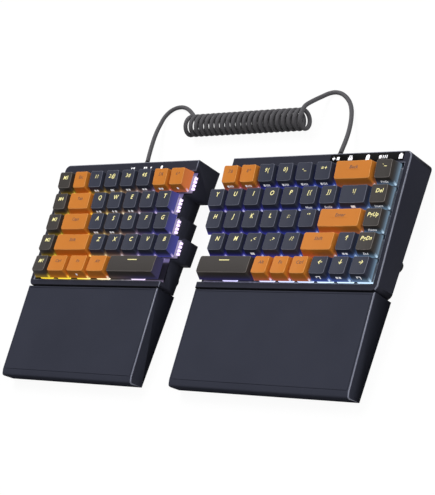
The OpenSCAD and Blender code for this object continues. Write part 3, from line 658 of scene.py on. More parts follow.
WHITE_INK = Ink("legend_white", linear(236, 236, 240), shine=0.45)
CAP_SURFACE = {"roughness": 0.46, "grain": 0.25, "depth": 0.012, "specular": 0.1}
CAP_FINISH = {
    Tone.NAVY: LitPlastic("cap_navy", linear(48, 51, 65), worn=linear(150, 153, 170), **CAP_SURFACE),
    Tone.ORANGE: LitPlastic("cap_orange", linear(198, 120, 44), mottle=0.06, light=Backlight.EMBER,
                            strength=0.28, worn=linear(250, 190, 120), **CAP_SURFACE),
    Tone.GREY: LitPlastic("cap_grey", linear(57, 53, 51), worn=linear(160, 152, 148), **CAP_SURFACE),
}


def bands(rings: int, count: int, closed: bool = False) -> list[tuple[int, ...]]:
    """Faces between rings of points that are numbered one after the other.

    Args:
        rings: How many rings there are.
        count: Points in each ring.
        closed: Whether the last ring joins the first.

    Returns:
        The faces, ring by ring.
    """
    faces = []
    for ring in range(rings if closed else rings - 1):
        low, high = ring * count, (ring + 1) % rings * count
        for i in range(count):
            after = (i + 1) % count
            faces.append((low + i, low + after, high + after, high + i))
    return faces


@dataclass
class Buffer:
    """Points and faces of a mesh in the making, with a material place for each face."""

    points: list[Vector] = field(default_factory=list)
    faces: list[tuple[int, ...]] = field(default_factory=list)
    tags: list[int] = field(default_factory=list)
    glow: list[float] = field(default_factory=list)

    def add(self, points: Sequence[Vector], faces: Sequence[Sequence[int]], tag: int = 0,
            glow: Sequence[float] | None = None) -> None:
        """Takes in more points and the faces between them.

        Args:
            points: The points.
            faces: The faces, counted from the first of these points.
            tag: The faces' material place.
            glow: Backlight at each point, or none at all.
        """
        start = len(self.points)
        self.points.extend(points)
        self.faces.extend(tuple(start + i for i in face) for face in faces)
        self.tags.extend(tag for _ in faces)
        self.glow.extend(glow or (0.0 for _ in points))

    def box(self, low: Sequence[float], high: Sequence[float], tag: int = 0) -> None:
        """Adds a closed box.

        Args:
            low: Its lowest corner.
            high: Its highest corner.
            tag: Its material place.
        """
        points = [Vector((x, y, z)) for z in (low[2], high[2])
                  for x, y in ((low[0], low[1]), (high[0], low[1]), (high[0], high[1]), (low[0], high[1]))]
        faces = ((3, 2, 1, 0), (4, 5, 6, 7), (0, 1, 5, 4), (1, 2, 6, 5), (2, 3, 7, 6), (3, 0, 4, 7))
        self.add(points, faces, tag)

    def loft(self, rings: Sequence[Sequence[Vector]],
             glow: Sequence[Sequence[float]] | None = None) -> None:
        """Adds a closed skin over rings of equal count, with a face at each end.

        Args:
            rings: The rings' points.
            glow: Backlight at each point, or none at all.
        """
        count = len(rings[0])
        last = (len(rings) - 1) * count
        ends = [tuple(range(count - 1, -1, -1)), tuple(range(last, last + count))]
        shares = [g for ring in glow for g in ring] if glow else None
        self.add([p for ring in rings for p in ring], bands(len(rings), count) + ends, 0, shares)

    def mesh(self, name: str, turn: Matrix | None = None, smooth_below: float = 40.0) -> bpy.types.Mesh:
        """The finished mesh, with its normals outwards.

        Args:
            name: The mesh's name.
            turn: A matrix for the points.
            smooth_below: Edges that turn less than this, in degrees, are smooth.

        Returns:
            The mesh.
        """
        made = bpy.data.meshes.new(name)
        made.from_pydata([tuple(turn @ p if turn else p) for p in self.points], [], self.faces)
        made.attributes.new(GLOW, "FLOAT", "POINT").data.foreach_set("value", self.glow)
        made.polygons.foreach_set("material_index", self.tags)
        work = bmesh.new()
        work.from_mesh(made)
        bmesh.ops.recalc_face_normals(work, faces=work.faces)
        work.to_mesh(made)
        work.free()
        smooth(made, smooth_below)
        return made


def smooth(mesh: bpy.types.Mesh, below: float) -> None:
    """Shades a mesh smooth, with sharp edges where faces turn more than an angle in degrees."""
    mesh.polygons.foreach_set("use_smooth", [True] * len(mesh.polygons))
    mesh.set_sharp_from_angle(angle=math.radians(below))


def new_object(name: str, mesh: bpy.types.ID, *materials: bpy.types.Material) -> bpy.types.Object:
    """An object at the origin, in the scene.

    Args:
        name: The object's name.
        mesh: Its mesh, curve, lamp or camera.
        materials: Materials that are added to a mesh.

    Returns:
        The object.
    """
    made = bpy.data.objects.new(name, mesh)
    bpy.context.scene.collection.objects.link(made)
    for material in materials:
        mesh.materials.append(material)
    return made


def evaluated(source: bpy.types.Object) -> bpy.types.Mesh:
    """A plain mesh of what an object's modifiers make.

    Args:
        source: The object, which is removed.

    Returns:
        The mesh.
    """
    bpy.context.view_layer.update()
    made = bpy.data.meshes.new_from_object(source.evaluated_get(bpy.context.evaluated_depsgraph_get()))
    bpy.data.objects.remove(source)
    return made


def joined(name: str, meshes: Sequence[bpy.types.Mesh], material: bpy.types.Material) -> bpy.types.Mesh:
    """One mesh of one material from several.

    Args:
        name: The mesh's name.
        meshes: The meshes to join.
        material: The material of all faces.

    Returns:
        The joined mesh.
    """
    work = bmesh.new()
    for mesh in meshes:
        work.from_mesh(mesh)
    for face in work.faces:
        face.material_index = 0
    made = bpy.data.meshes.new(name)
    made.materials.append(material)
    work.to_mesh(made)
    work.free()
    return made


def settle(piece: bpy.types.Object, body: str,
           replaced: Sequence[str] = ()) -> bpy.types.Object:
    """Puts a finished piece on its body and reports it.

    Args:
        piece: The piece, in place.
        body: The body that it moves with.
        replaced: The solids that it stands for.

    Returns:
        The piece.
    """
    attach(piece, body)
    if replaced:
        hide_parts(*replaced)
    log.info("%s on %s: %d faces", piece.name, body, len(piece.data.polygons))
    return piece


def dress(node: str, finish: Finish) -> None:
    """Gives a solid of the frame its finish and reports it.

    Args:
        node: The solid, which keeps its own shape.
        finish: Its finish.
    """
    materials = frame["nodes"][node].data.materials
    materials.clear()
    materials.append(finish.material())
    log.info("%s dressed in %s", node, finish.name)


class Recipe:
    """A Geometry Nodes tree with named inputs that turns a source object into a plain mesh."""

    def __init__(self, name: str, inputs: dict[str, str]) -> None:
        """Starts a tree.

        Args:
            name: The tree's name.
            inputs: Socket type of each named input, besides the geometry.
        """
        self.tree = bpy.data.node_groups.new(name, "GeometryNodeTree")
        self.tree.interface.new_socket("Geometry", in_out="INPUT", socket_type="NodeSocketGeometry")
        for label, kind in inputs.items():
            self.tree.interface.new_socket(label, in_out="INPUT", socket_type=kind)
        self.tree.interface.new_socket("Geometry", in_out="OUTPUT", socket_type="NodeSocketGeometry")
        self.entry = self.tree.nodes.new("NodeGroupInput")

    def add(self, kind: str, **sockets: object) -> bpy.types.Node:
        """Adds a node.

        Args:
            kind: The node's type.
            sockets: Values by socket name, with underscores for spaces; a pair is a node and its output.

        Returns:
            The node.
        """
        node = self.tree.nodes.new(kind)
        for label, value in sockets.items():
            target = node.inputs[label.replace("_", " ")]
            if isinstance(value, tuple):
                self.tree.links.new(value[0].outputs[value[1]], target)
            else:
                target.default_value = value
        return node

    def close(self, last: bpy.types.Node, output: str) -> None:
        """Ends the tree in real geometry with its material.

        Args:
            last: The last node that shapes the geometry.
            output: That node's output.
        """
        real = self.add("GeometryNodeRealizeInstances", Geometry=(last, output))
        inked = self.add("GeometryNodeSetMaterial", Geometry=(real, "Geometry"),
                         Material=(self.entry, "Finish"))
        leave = self.tree.nodes.new("NodeGroupOutput")
        self.tree.links.new(inked.outputs["Geometry"], leave.inputs["Geometry"])

    def run(self, source: bpy.types.Object, **values: object) -> bpy.types.Mesh:
        """Runs the tree on a source object, which is used up.

        Args:
            source: The object whose geometry enters the tree.
            values: The named inputs, with underscores for spaces.

        Returns:
            The plain mesh.
        """
        modifier = source.modifiers.new(self.tree.name, "NODES")
        modifier.node_group = self.tree
        known = {item.name: item.identifier for item in self.tree.interface.items_tree
                 if item.in_out == "INPUT"}
        for label, value in values.items():
            modifier[known[label.replace("_", " ")]] = value
        return evaluated(source)


class Repeat(Recipe):
    """Sets copies of a part on points, all tilted alike."""

    def __init__(self) -> None:
        """Builds the tree."""
        super().__init__("Repeat on points", {
            "Part": "NodeSocketObject", "Tilt": "NodeSocketFloat", "Finish": "NodeSocketMaterial",
        })
        part = self.add("GeometryNodeObjectInfo", Object=(self.entry, "Part"))
        turn = self.add("ShaderNodeCombineXYZ", X=(self.entry, "Tilt"))
        copies = self.add("GeometryNodeInstanceOnPoints", Points=(self.entry, "Geometry"),
                          Instance=(part, "Geometry"), Rotation=(turn, "Vector"))
        self.close(copies, "Instances")

    def on(self, part: bpy.types.Mesh, places: Sequence[Vector], tilt: float,
           finish: bpy.types.Material) -> bpy.types.Mesh:
        """Repeats a part.

        Args:
            part: The mesh to repeat, in metres.
            places: Where the copies stand.
            tilt: Turn about x in degrees.
            finish: The copies' material.

        Returns:
            One mesh of all copies.
        """
        points = bpy.data.meshes.new("places")
        points.from_pydata([tuple(p) for p in places], [], [])
        sample = new_object("sample", part)
        made = self.run(new_object("places", points), Part=sample, Tilt=math.radians(tilt), Finish=finish)
        bpy.data.objects.remove(sample)
        return made


class PathTube(Recipe):
    """Sweeps a round section along a path."""

    def __init__(self) -> None:
        """Builds the tree."""
        super().__init__("Tube along a path", {
            "Radius": "NodeSocketFloat", "Sides": "NodeSocketInt", "Finish": "NodeSocketMaterial",
        })
        section = self.add("GeometryNodeCurvePrimitiveCircle", Resolution=(self.entry, "Sides"),
                           Radius=(self.entry, "Radius"))
        swept = self.add("GeometryNodeCurveToMesh", Curve=(self.entry, "Geometry"),
                         Profile_Curve=(section, "Curve"), Fill_Caps=True)
        even = self.add("GeometryNodeSetShadeSmooth", Geometry=(swept, "Mesh"))
        self.close(even, "Geometry")

    def along(self, path: Sequence[Vector], radius: float, sides: int,
              finish: bpy.types.Material) -> bpy.types.Mesh:
        """Sweeps a tube.

        Args:
            path: The points of the middle line, in metres.
            radius: The tube's radius in metres.
            sides: Sides of the round section.
            finish: The tube's material.

        Returns:
            The tube as a mesh.
        """
        curve = bpy.data.curves.new("path", "CURVE")
        curve.dimensions = "3D"
        line = curve.splines.new("POLY")
        line.points.add(len(path) - 1)
        for point, place in zip(line.points, path):
            point.co = (*place, 1.0)
        return self.run(new_object("path", curve), Radius=radius, Sides=sides, Finish=finish)


LEAST_RADIUS = 0.01      # mm; a corner is never sharper
CORNER_STEP = 0.05       # share of a side between a corner and the first and last step


def outline(low: Flat, high: Flat, radius: float, across: int, along: int, corner: int) -> list[Flat]:
    """A rectangle with round corners.

    Args:
        low: Its front left corner.
        high: Its back right corner.
        radius: Radius of the corners.
        across: Steps along each x side.
        along: Steps along each y side.
        corner: Steps round each corner.

    Returns:
        Its points, counted round from the front left.
    """
    widest = min((high[0] - low[0]) / 2 - LEAST_RADIUS, (high[1] - low[1]) / 2 - LEAST_RADIUS)
    r = max(LEAST_RADIUS, min(radius, widest))
    centres = ((high[0] - r, low[1] + r), (high[0] - r, high[1] - r), (low[0] + r, high[1] - r),
               (low[0] + r, low[1] + r))
    starts = ((low[0] + r, low[1]), (high[0], low[1] + r), (high[0] - r, high[1]), (low[0], high[1] - r))
    ends = ((high[0] - r, low[1]), (high[0], high[1] - r), (low[0] + r, high[1]), (low[0], low[1] + r))
    points: list[Flat] = []
    for turn in range(4):
        steps = across if turn % 2 == 0 else along
        for t in (0.0, CORNER_STEP, *((i + 1) / (steps + 1) for i in range(steps)), 1 - CORNER_STEP):
            points.append((starts[turn][0] + t * (ends[turn][0] - starts[turn][0]),
                           starts[turn][1] + t * (ends[turn][1] - starts[turn][1])))
        for i in range(corner):
            angle = math.radians(90 * (turn - 1) + 90 * i / corner)
            points.append((centres[turn][0] + r * math.cos(angle), centres[turn][1] + r * math.sin(angle)))
    return points


@dataclass(frozen=True)
class CapShape:
    """One key cap with its stem, in millimetres; x = 0 is its middle and y = 0 its front edge.

    Shares are parts of the height or of the top's half depth. An edge ring has its inset and its drop in
    parts of the edge's size.
    """

    units: float
    row: int
    flooded: int = 0
    gap: float = 1.3
    base: float = 0.2
    side_taper: float = 1.75
    front_taper: float = 3.4
    back_taper: float = 0.4
    wall: float = 1.3
    roof: float = 1.2
    roof_fillet: float = 0.3
    roof_radius: float = 1.0
    dish: float = 0.6
    crown: float = 0.35
    inner_radius: float = 0.6
    inset_round: float = 0.6
    foot_radius: float = 0.6
    foot_inset: float = 0.12
    foot_rise: float = 0.15
    top_radius: float = 1.5
    edge: float = 0.36
    edge_starts: tuple = (1.4, 1.0)
    edge_rings: tuple = ((0.1, 0.45), (0.4, 0.12), (0.9, 0.0), (1.4, 0.0))
    # painted highlight: a glow below 0 lightens the top's edge rings that drop
    edge_wear: float = -0.5
    side_shares: tuple = (0.2, 0.45, 0.7)
    top_shares: tuple = (0.25, 0.45, 0.65, 0.85, 0.97)
    narrow_steps: tuple = (6, 3, 4)
    wide_steps: tuple = (12, 3, 4)
    glint: float = 1.9
    left_glint: float = 0.7
    glint_top: float = 0.25
    glint_reach: float = 0.4
    spill_top: float = 0.6
    spill_fall: float = 1.6
    flood_fall: float = 0.45
    space_light: float = 0.3
    post_radius: float = 2.75
    post_chamfer: float = 0.3
    post_step: int = 30
    slider: float = 7.0
    slider_low: float = -3.9
    shoulder: float = 1.2
    guide_radius: float = 2.2
    guide_slider: Flat = (4.6, 5.6)
    guide_reach: Flat = (11.94, 19.05)
    heights: tuple = (8.6, 7.0, 7.3, 8.2, 8.4)
    tilts: tuple = (6, 3, 1, -2, -4)

    @property
    def width(self) -> float:
        """Width at the lower edge."""
        return self.units * LAYOUT.key_pitch - self.gap

    @property
    def depth(self) -> float:
        """Depth at the lower edge."""
        return LAYOUT.key_pitch - self.gap

    @property
    def top_depth(self) -> float:
        """Depth of the top."""
        return self.depth - self.front_taper - self.back_taper

    @property
    def front(self) -> float:
        """Height of the front top edge over the lower edge."""
        return self.heights[self.row - 1]

    @property
    def slope(self) -> float:
        """Rise of the top towards the back."""
        return math.tan(math.radians(self.tilts[self.row - 1]))

    @property
    def is_space(self) -> bool:
        """Whether the cap is a space key, with a crowned top."""
        return self.units >= SPACE_KEY

    def top(self, x: float, y: float) -> float:
        """Height of the top's surface over the lower edge.

        Args:
            x: Place across.
            y: Place from the front edge.

        Returns:
            The height, dished or, on a space key, crowned.
        """
        plane = self.front + self.slope * (y - self.front_taper)
        if self.is_space:
            half = self.top_depth / 2
            off = (y - self.front_taper - half) / half
            return plane - self.crown * min(1.0, off * off)
        half = self.width / 2 - self.side_taper
        return plane - self.dish * max(0.0, 1 - (x / half) ** 2)

    def ring(self, share: float, inset: float, radius: float) -> list[Flat]:
        """Outline at a share of the height.

        Args:
            share: The share of the height.
            inset: How far it is drawn in.
            radius: Radius of its corners before it is drawn in.

        Returns:
            Its points.
        """
        side = self.side_taper * share + inset
        low = (side - self.width / 2, self.front_taper * share + inset)
        high = (self.width / 2 - side, self.depth - self.back_taper * share - inset)
        steps = self.narrow_steps if self.units < WIDE_KEY else self.wide_steps
        return outline(low, high, radius - inset * self.inset_round, *steps)

    def _side_glow(self, x: float, y: float, share: float) -> float:
        """Painted backlight on a side; painted glints of the lamps at the front's lower corners, brighter
        at the right one.

        Args:
            x: Place across.
            y: Place from the front edge.
            share: The share of the height.

        Returns:
            The light in the measure of the glow attribute.
        """
        level = self.space_light if self.is_space else 1.0
        low = max(0.0, 1 - share / self.spill_top) ** self.spill_fall * level
        side = self.width / 2 - self.side_taper * share - self.foot_radius - self.glint_reach
        front = self.front_taper * share + self.foot_radius + self.glint_reach
        if share < self.glint_top and abs(x) > side and y < front and not self.is_space:
            return (self.glint if x > 0 else self.left_glint * self.glint) * (1 - share)
        full = (1 - self.flood_fall * share) * level
        return max(low, full) if self.flooded * x > side else low

    def _skin(self, buffer: Buffer) -> None:
        """Adds the cap's closed shell.

        Args:
            buffer: The mesh in the making.
        """
        under = self.front + min(0.0, self.slope) * self.depth - self.dish - self.roof
        rings, glow = [], []

        def put(flat: list[Flat], height: Callable[[float, float], float], share: float | None,
                plain: float = 0.0) -> None:
            """Adds a ring, lit as a side where it has a share of the height."""
            rings.append([Vector((x, y, self.base + height(x, y))) for x, y in flat])
            glow.append([plain if share is None else self._side_glow(x, y, share) for x, y in flat])

        roof_ring = self.ring(under / self.front, self.wall + self.roof_fillet, self.roof_radius)
        put(roof_ring, lambda x, y: under, None)
        put(self.ring(0.0, self.wall, self.inner_radius), lambda x, y: 0.0, 0.0)
        put(self.ring(0.0, self.foot_inset, self.foot_radius), lambda x, y: 0.0, 0.0)
        put(self.ring(0.0, 0.0, self.foot_radius), lambda x, y: self.foot_rise, 0.0)
        ends = (1 - start * self.edge / self.front for start in self.edge_starts)
        for share in (*self.side_shares, *ends):
            radius = self.foot_radius + (self.top_radius - self.foot_radius) * share
            put(self.ring(share, 0.0, radius), lambda x, y, s=share: s * self.top(x, y), share)
        # edge rings that drop take the painted highlight along the top's edges
        for inset, drop in self.edge_rings:
            put(self.ring(1.0, inset * self.edge, self.top_radius),
                lambda x, y, d=drop: self.top(x, y) - d * self.edge, None, self.edge_wear if drop else 0.0)
        half = self.top_depth / 2
        for part in self.top_shares:
            put(self.ring(1.0, half * part, self.top_radius), self.top, None)
        buffer.loft(rings, glow)

    def _stem(self, buffer: Buffer, x: float, width: float, depth: float, radius: float) -> None:
        """Adds a post under the roof and the slider below it.

        Args:
            buffer: The mesh in the making.
            x: Its place across.
            width: The slider's width.
            depth: The slider's depth.
            radius: The post's radius.
        """
        middle = LAYOUT.key_pitch / 2 - self.gap / 2
        top = self.base + self.front - self.dish - self.roof - abs(self.slope) * self.depth / 2
        turns = [math.radians(a) for a in range(0, 360, self.post_step)]
        levels = ((radius - self.post_chamfer, self.shoulder), (radius, self.shoulder + self.post_chamfer),
                  (radius, top))
        buffer.loft([[Vector((x + r * math.cos(a), middle + r * math.sin(a), z)) for a in turns]
                     for r, z in levels])
        buffer.box((x - width / 2, middle - depth / 2, self.slider_low),
                   (x + width / 2, middle + depth / 2, self.shoulder))

    def mesh(self) -> bpy.types.Mesh:
        """The cap and its stems.

        Returns:
            The mesh in metres, about the key's middle on the plate.
        """
        buffer = Buffer()
        self._skin(buffer)
        self._stem(buffer, 0.0, self.slider, self.slider, self.post_radius)
        if self.units >= WIDE_KEY:
            reach = self.guide_reach[1 if self.is_space else 0]
            for x in (-reach, reach):
                self._stem(buffer, x, *self.guide_slider, self.guide_radius)
        centre = Matrix.Scale(MM, 4) @ Matrix.Translation((0, self.gap / 2 - LAYOUT.key_pitch / 2, 0))
        return buffer.mesh("cap", centre)

    def on_top(self, flat: Vector, lift: float) -> Vector:
        """A printed point laid on the top, from its place about the printing's middle."""
        y = self.front_taper + flat.y
        return Vector((flat.x, y, self.base + self.top(flat.x, y) + flat.z + lift))

    def on_front(self, flat: Vector, lift: float) -> Vector:
        """A printed point laid on the front.

        Args:
            flat: The point, with y up from the lower edge.
            lift: How far it stands off the surface.

        Returns:
            Its place on the cap.
        """
        lean = Vector((0, self.front_taper, self.front)).normalized()
        out = Vector((0, -self.front, self.front_taper)).normalized()
        return Vector((flat.x, 0, self.base)) + lean * flat.y + out * (flat.z + lift)


@dataclass(frozen=True)
class Print:
    """Letters and signs as thin raised shapes, in millimetres."""

    thick: float = 0.06
    slant: float = 0.22
    spacing: float = 1.12
    pair_spacing: float = 1.3
    letter_ratio: float = 0.72
    curve_steps: int = 3

    def word(self, text: str, height: float, weight: float, paired: bool = False) -> Printed:
        """A word about its own middle.

        Args:
            text: The word.
            height: Height of a capital letter.
            weight: How far the strokes are widened.
            paired: Whether it is two signs set apart.

        Returns:
            Its points and faces.
        """
        curve = bpy.data.curves.new("word", "FONT")
        curve.body = text
        curve.size = height / self.letter_ratio
        curve.shear = self.slant
        curve.offset = weight
        curve.space_character = self.pair_spacing if paired else self.spacing
        curve.extrude = self.thick / 2
        curve.resolution_u = self.curve_steps
        curve.align_x = "CENTER"
        curve.align_y = "CENTER"
        mesh = evaluated(new_object("word", curve))
        points = [v.co.copy() for v in mesh.vertices]
        faces = [tuple(p.vertices) for p in mesh.polygons]
        bpy.data.meshes.remove(mesh)
        bpy.data.curves.remove(curve)
        return points, faces

    def sign(self, mark: Mark, scale: float = 1.0) -> Printed:
        """A small sign about its own middle.

        Args:
            mark: The sign.
            scale: How much larger it is printed.

        Returns:
            Its points and faces.
        """
        buffer = Buffer()
        half = self.thick / 2
        for left, low, right, high in mark.value:
            buffer.box((left * scale, low * scale, -half), (right * scale, high * scale, half))
        return buffer.points, buffer.faces


@dataclass
class KeyBank:
    """Keys of one colour that share a body: their caps and what is printed on them.

    Sizes are in millimetres; a legend's place is a share of the top's depth or of the front's height.
    """

    name: str
    side: Side
    tone: Tone
    keys: tuple[Key, ...]
    letter: float = 3.7
    word: float = 2.7
    word_ratio: float = 0.86
    small: float = 2.1
    stroke: float = 0.08
    fine_stroke: float = 0.05
    mark_scale: float = 1.3
    lift: float = 0.05
    letter_shift: float = 0.4
    dash_place: float = 0.74
    letter_place: float = 0.66
    word_place: float = 0.64
    front_place: float = 0.5
    printing: Print = Print()

    @property
    def body(self) -> str:
        """The bank's body in the frame."""
        return f"{self.name}_bank"

    @property
    def node(self) -> str:
        """The bank's solid in the frame."""
        return frame["record"]["behaviour"]["bodies"][self.body][0]

    def shape(self, key: Key) -> CapShape:
        """The form of a key's cap; the last key of a row is flooded with light on its split side.

        Args:
            key: The key.

        Returns:
            Its cap.
        """
        last = key.index == len(LAYOUT.rows(self.side)[key.row - 1]) - 1
        units = LAYOUT.units(self.side, key.row, key.index)
        return CapShape(units, key.row, -self.side.value if last else 0)

    def middle(self, key: Key) -> Vector:
        """A key's middle on the plate, in the plate frame."""
        y = LAYOUT.row_front(key.row) + LAYOUT.key_pitch / 2
        return Vector((LAYOUT.key_x(self.side, key.row, key.index), y, 0))

    def caps(self, repeat: Repeat) -> bpy.types.Object:
        """Builds the bank's caps.

        Args:
            repeat: The tree that sets copies on points.

        Returns:
            The caps as one piece.
        """
        finish = CAP_FINISH[self.tone].material()
        meshes = []
        for shape in dict.fromkeys(self.shape(key) for key in self.keys):
            places = [LAYOUT.to_model @ self.middle(key) for key in self.keys if self.shape(key) == shape]
            meshes.append(repeat.on(shape.mesh(), places, LAYOUT.typing_angle, finish))
        piece = new_object(f"{self.name}_caps", joined(f"{self.name}_caps", meshes, finish))
        return settle(piece, self.body, (self.node,))

    def _print(self, buffer: Buffer, key: Key) -> None:
        """Adds a key's legend and front mark.

        Args:
            buffer: The mesh in the making.
            key: The key.
        """
        shape = self.shape(key)
        start = self.middle(key) + Vector((0, shape.gap / 2 - LAYOUT.key_pitch / 2, 0))

        def lay(flat: Printed, on_front: bool, x: float, y: float) -> None:
            """Lays a print on the cap's top, or in the second ink on its front."""
            put = shape.on_front if on_front else shape.on_top
            points, faces = flat
            moved = [LAYOUT.to_model @ (start + put(p + Vector((x, y, 0)), self.lift)) for p in points]
            buffer.add(moved, faces, int(on_front))

        if shape.is_space:
            lay(self.printing.sign(Mark.DASH), False, 0.0, shape.top_depth * self.dash_place)
        elif len(key.legend) == 1:
            word = self.printing.word(key.legend, self.letter, self.stroke)
            lay(word, False, self.letter_shift, shape.top_depth * self.letter_place)
        else:
            height = self.word if self.tone is Tone.ORANGE else self.letter * self.word_ratio
            paired = len(key.legend) == 2 and not key.legend.isalnum()
            stroke = self.fine_stroke if paired else self.stroke
            word = self.printing.word(key.legend, height, stroke, paired)
            lay(word, False, 0.0, shape.top_depth * self.word_place)
        up = shape.front * self.front_place
        if key.front is not Mark.NONE:
            lay(self.printing.sign(key.front, self.mark_scale), True, 0.0, up)
        if key.front_word:
            lay(self.printing.word(key.front_word, self.small, self.fine_stroke), True, 0.0, up)

    def legends(self) -> bpy.types.Object:
        """Builds what is printed on the bank's caps.

        Returns:
            The printing as one piece.
        """
        buffer = Buffer()
        for key in self.keys:
            self._print(buffer, key)
        ink = DARK_INK if self.tone is Tone.ORANGE else WARM_INK
        piece = new_object(f"{self.name}_legends", buffer.mesh(f"{self.name}_legends"), ink.material(),
                           WHITE_INK.material())
        return settle(piece, self.body)

    def build(self, repeat: Repeat) -> None:
        """Builds the caps and their printing."""
        self.caps(repeat)
        self.legends()


BANKS = (
    KeyBank("macro", Side.LEFT, Tone.GREY, tuple(Key(row, 0, f"M{6 - row}") for row in range(1, 6))),
    KeyBank("escape", Side.LEFT, Tone.ORANGE, (Key(1, 1, "Esc"),)),
    KeyBank("left_number", Side.LEFT, Tone.NAVY, (
        Key(1, 2, "1!", Mark.TWINS), Key(1, 3, "2@", Mark.BLOCK), Key(1, 4, "3#", Mark.TWINS),
        Key(1, 5, "4$", Mark.TWINS))),
    KeyBank("left_accent", Side.LEFT, Tone.ORANGE, (
        Key(1, 6, "5%", Mark.TWINS), Key(1, 7, "6^", Mark.DOT))),
    KeyBank("tab", Side.LEFT, Tone.ORANGE, (Key(2, 1, "Tab"),)),
    KeyBank("qwert", Side.LEFT, Tone.NAVY, (
        Key(2, 2, "Q", Mark.LINK), Key(2, 3, "W", Mark.LINK), Key(2, 4, "E", Mark.LINK), Key(2, 5, "R"),
        Key(2, 6, "T"))),
    KeyBank("caps", Side.LEFT, Tone.ORANGE, (Key(3, 1, "Caps"),)),
    KeyBank("asdfg", Side.LEFT, Tone.NAVY, (
        Key(3, 2, "A", Mark.TWINS), Key(3, 3, "S", Mark.TWINS), Key(3, 4, "D"), Key(3, 5, "F"),
        Key(3, 6, "G"))),
    KeyBank("left_shift", Side.LEFT, Tone.ORANGE, (Key(4, 1, "Shift"),)),
    KeyBank("zxcvb", Side.LEFT, Tone.NAVY, tuple(Key(4, 2 + i, c) for i, c in enumerate("ZXCVB"))),
    KeyBank("left_modifier", Side.LEFT, Tone.ORANGE, (
        Key(5, 1, "Ctrl"), Key(5, 2, "Fn", Mark.DOT), Key(5, 3, "Alt"))),
    KeyBank("left_space", Side.LEFT, Tone.GREY, (Key(5, 4, ""),)),
    KeyBank("right_accent", Side.RIGHT, Tone.ORANGE, (
        Key(1, 7, "7&", Mark.BARS), Key(1, 6, "8*", Mark.BARS))),
    KeyBank("right_number", Side.RIGHT, Tone.NAVY, (
        Key(1, 5, "9(", Mark.BARS), Key(1, 4, "0)", Mark.BARS), Key(1, 3, "-_", Mark.BARS),
        Key(1, 2, "=+", Mark.BARS))),
    KeyBank("backspace", Side.RIGHT, Tone.ORANGE, (Key(1, 1, "Back"),)),
    KeyBank("navigation", Side.RIGHT, Tone.GREY, (
        Key(1, 0, "`~", Mark.NONE, "PrtSc"), Key(2, 0, "Del", Mark.NONE, "Insert"),
        Key(3, 0, "PgUp", Mark.NONE, "Home"), Key(4, 0, "PgDn", Mark.NONE, "End"))),
    KeyBank("yuiop", Side.RIGHT, Tone.NAVY, (
        Key(2, 8, "Y"), Key(2, 7, "U"), Key(2, 6, "I"), Key(2, 5, "O"), Key(2, 4, "P"),
        Key(2, 3, "[{", Mark.NONE, "Num"), Key(2, 2, "]}", Mark.NONE, "ScrLk"),
        Key(2, 1, "\\|", Mark.BLOCK))),
    KeyBank("hjkl", Side.RIGHT, Tone.NAVY, tuple(
        Key(3, 7 - i, c) for i, c in enumerate(("H", "J", "K", "L", ";:", "'\"")))),
    KeyBank("enter", Side.RIGHT, Tone.ORANGE, (Key(3, 1, "Enter"),)),
    KeyBank("nm", Side.RIGHT, Tone.NAVY, (
        Key(4, 7, "N"), Key(4, 6, "M"), Key(4, 5, ",<", Mark.BLOCK), Key(4, 4, ".>"), Key(4, 3, "/?"))),
    KeyBank("right_shift", Side.RIGHT, Tone.ORANGE, (Key(4, 2, "Shift"),)),
    KeyBank("arrow", Side.RIGHT, Tone.NAVY, (
        Key(4, 1, "↑", Mark.TWINS), Key(5, 2, "←", Mark.HOOK), Key(5, 1, "↓", Mark.TWINS),
        Key(5, 0, "→", Mark.HOOK))),
    KeyBank("right_modifier", Side.RIGHT, Tone.ORANGE, (
        Key(5, 5, "Alt"), Key(5, 4, "Fn"), Key(5, 3, "Ctrl"))),
    KeyBank("right_space", Side.RIGHT, Tone.GREY, (Key(5, 6, ""),)),
)


WELD = 0.002             # mm; points nearer than this are one
FLAT_TURN = 0.5          # degrees; faces that turn less are one
EDGE_TURN = 25           # degrees; an edge that turns more can be rounded
ROUND_STEPS = 3
JOINT = (-3.0, 1.5)      # mm along the plate; the joint of case and rest


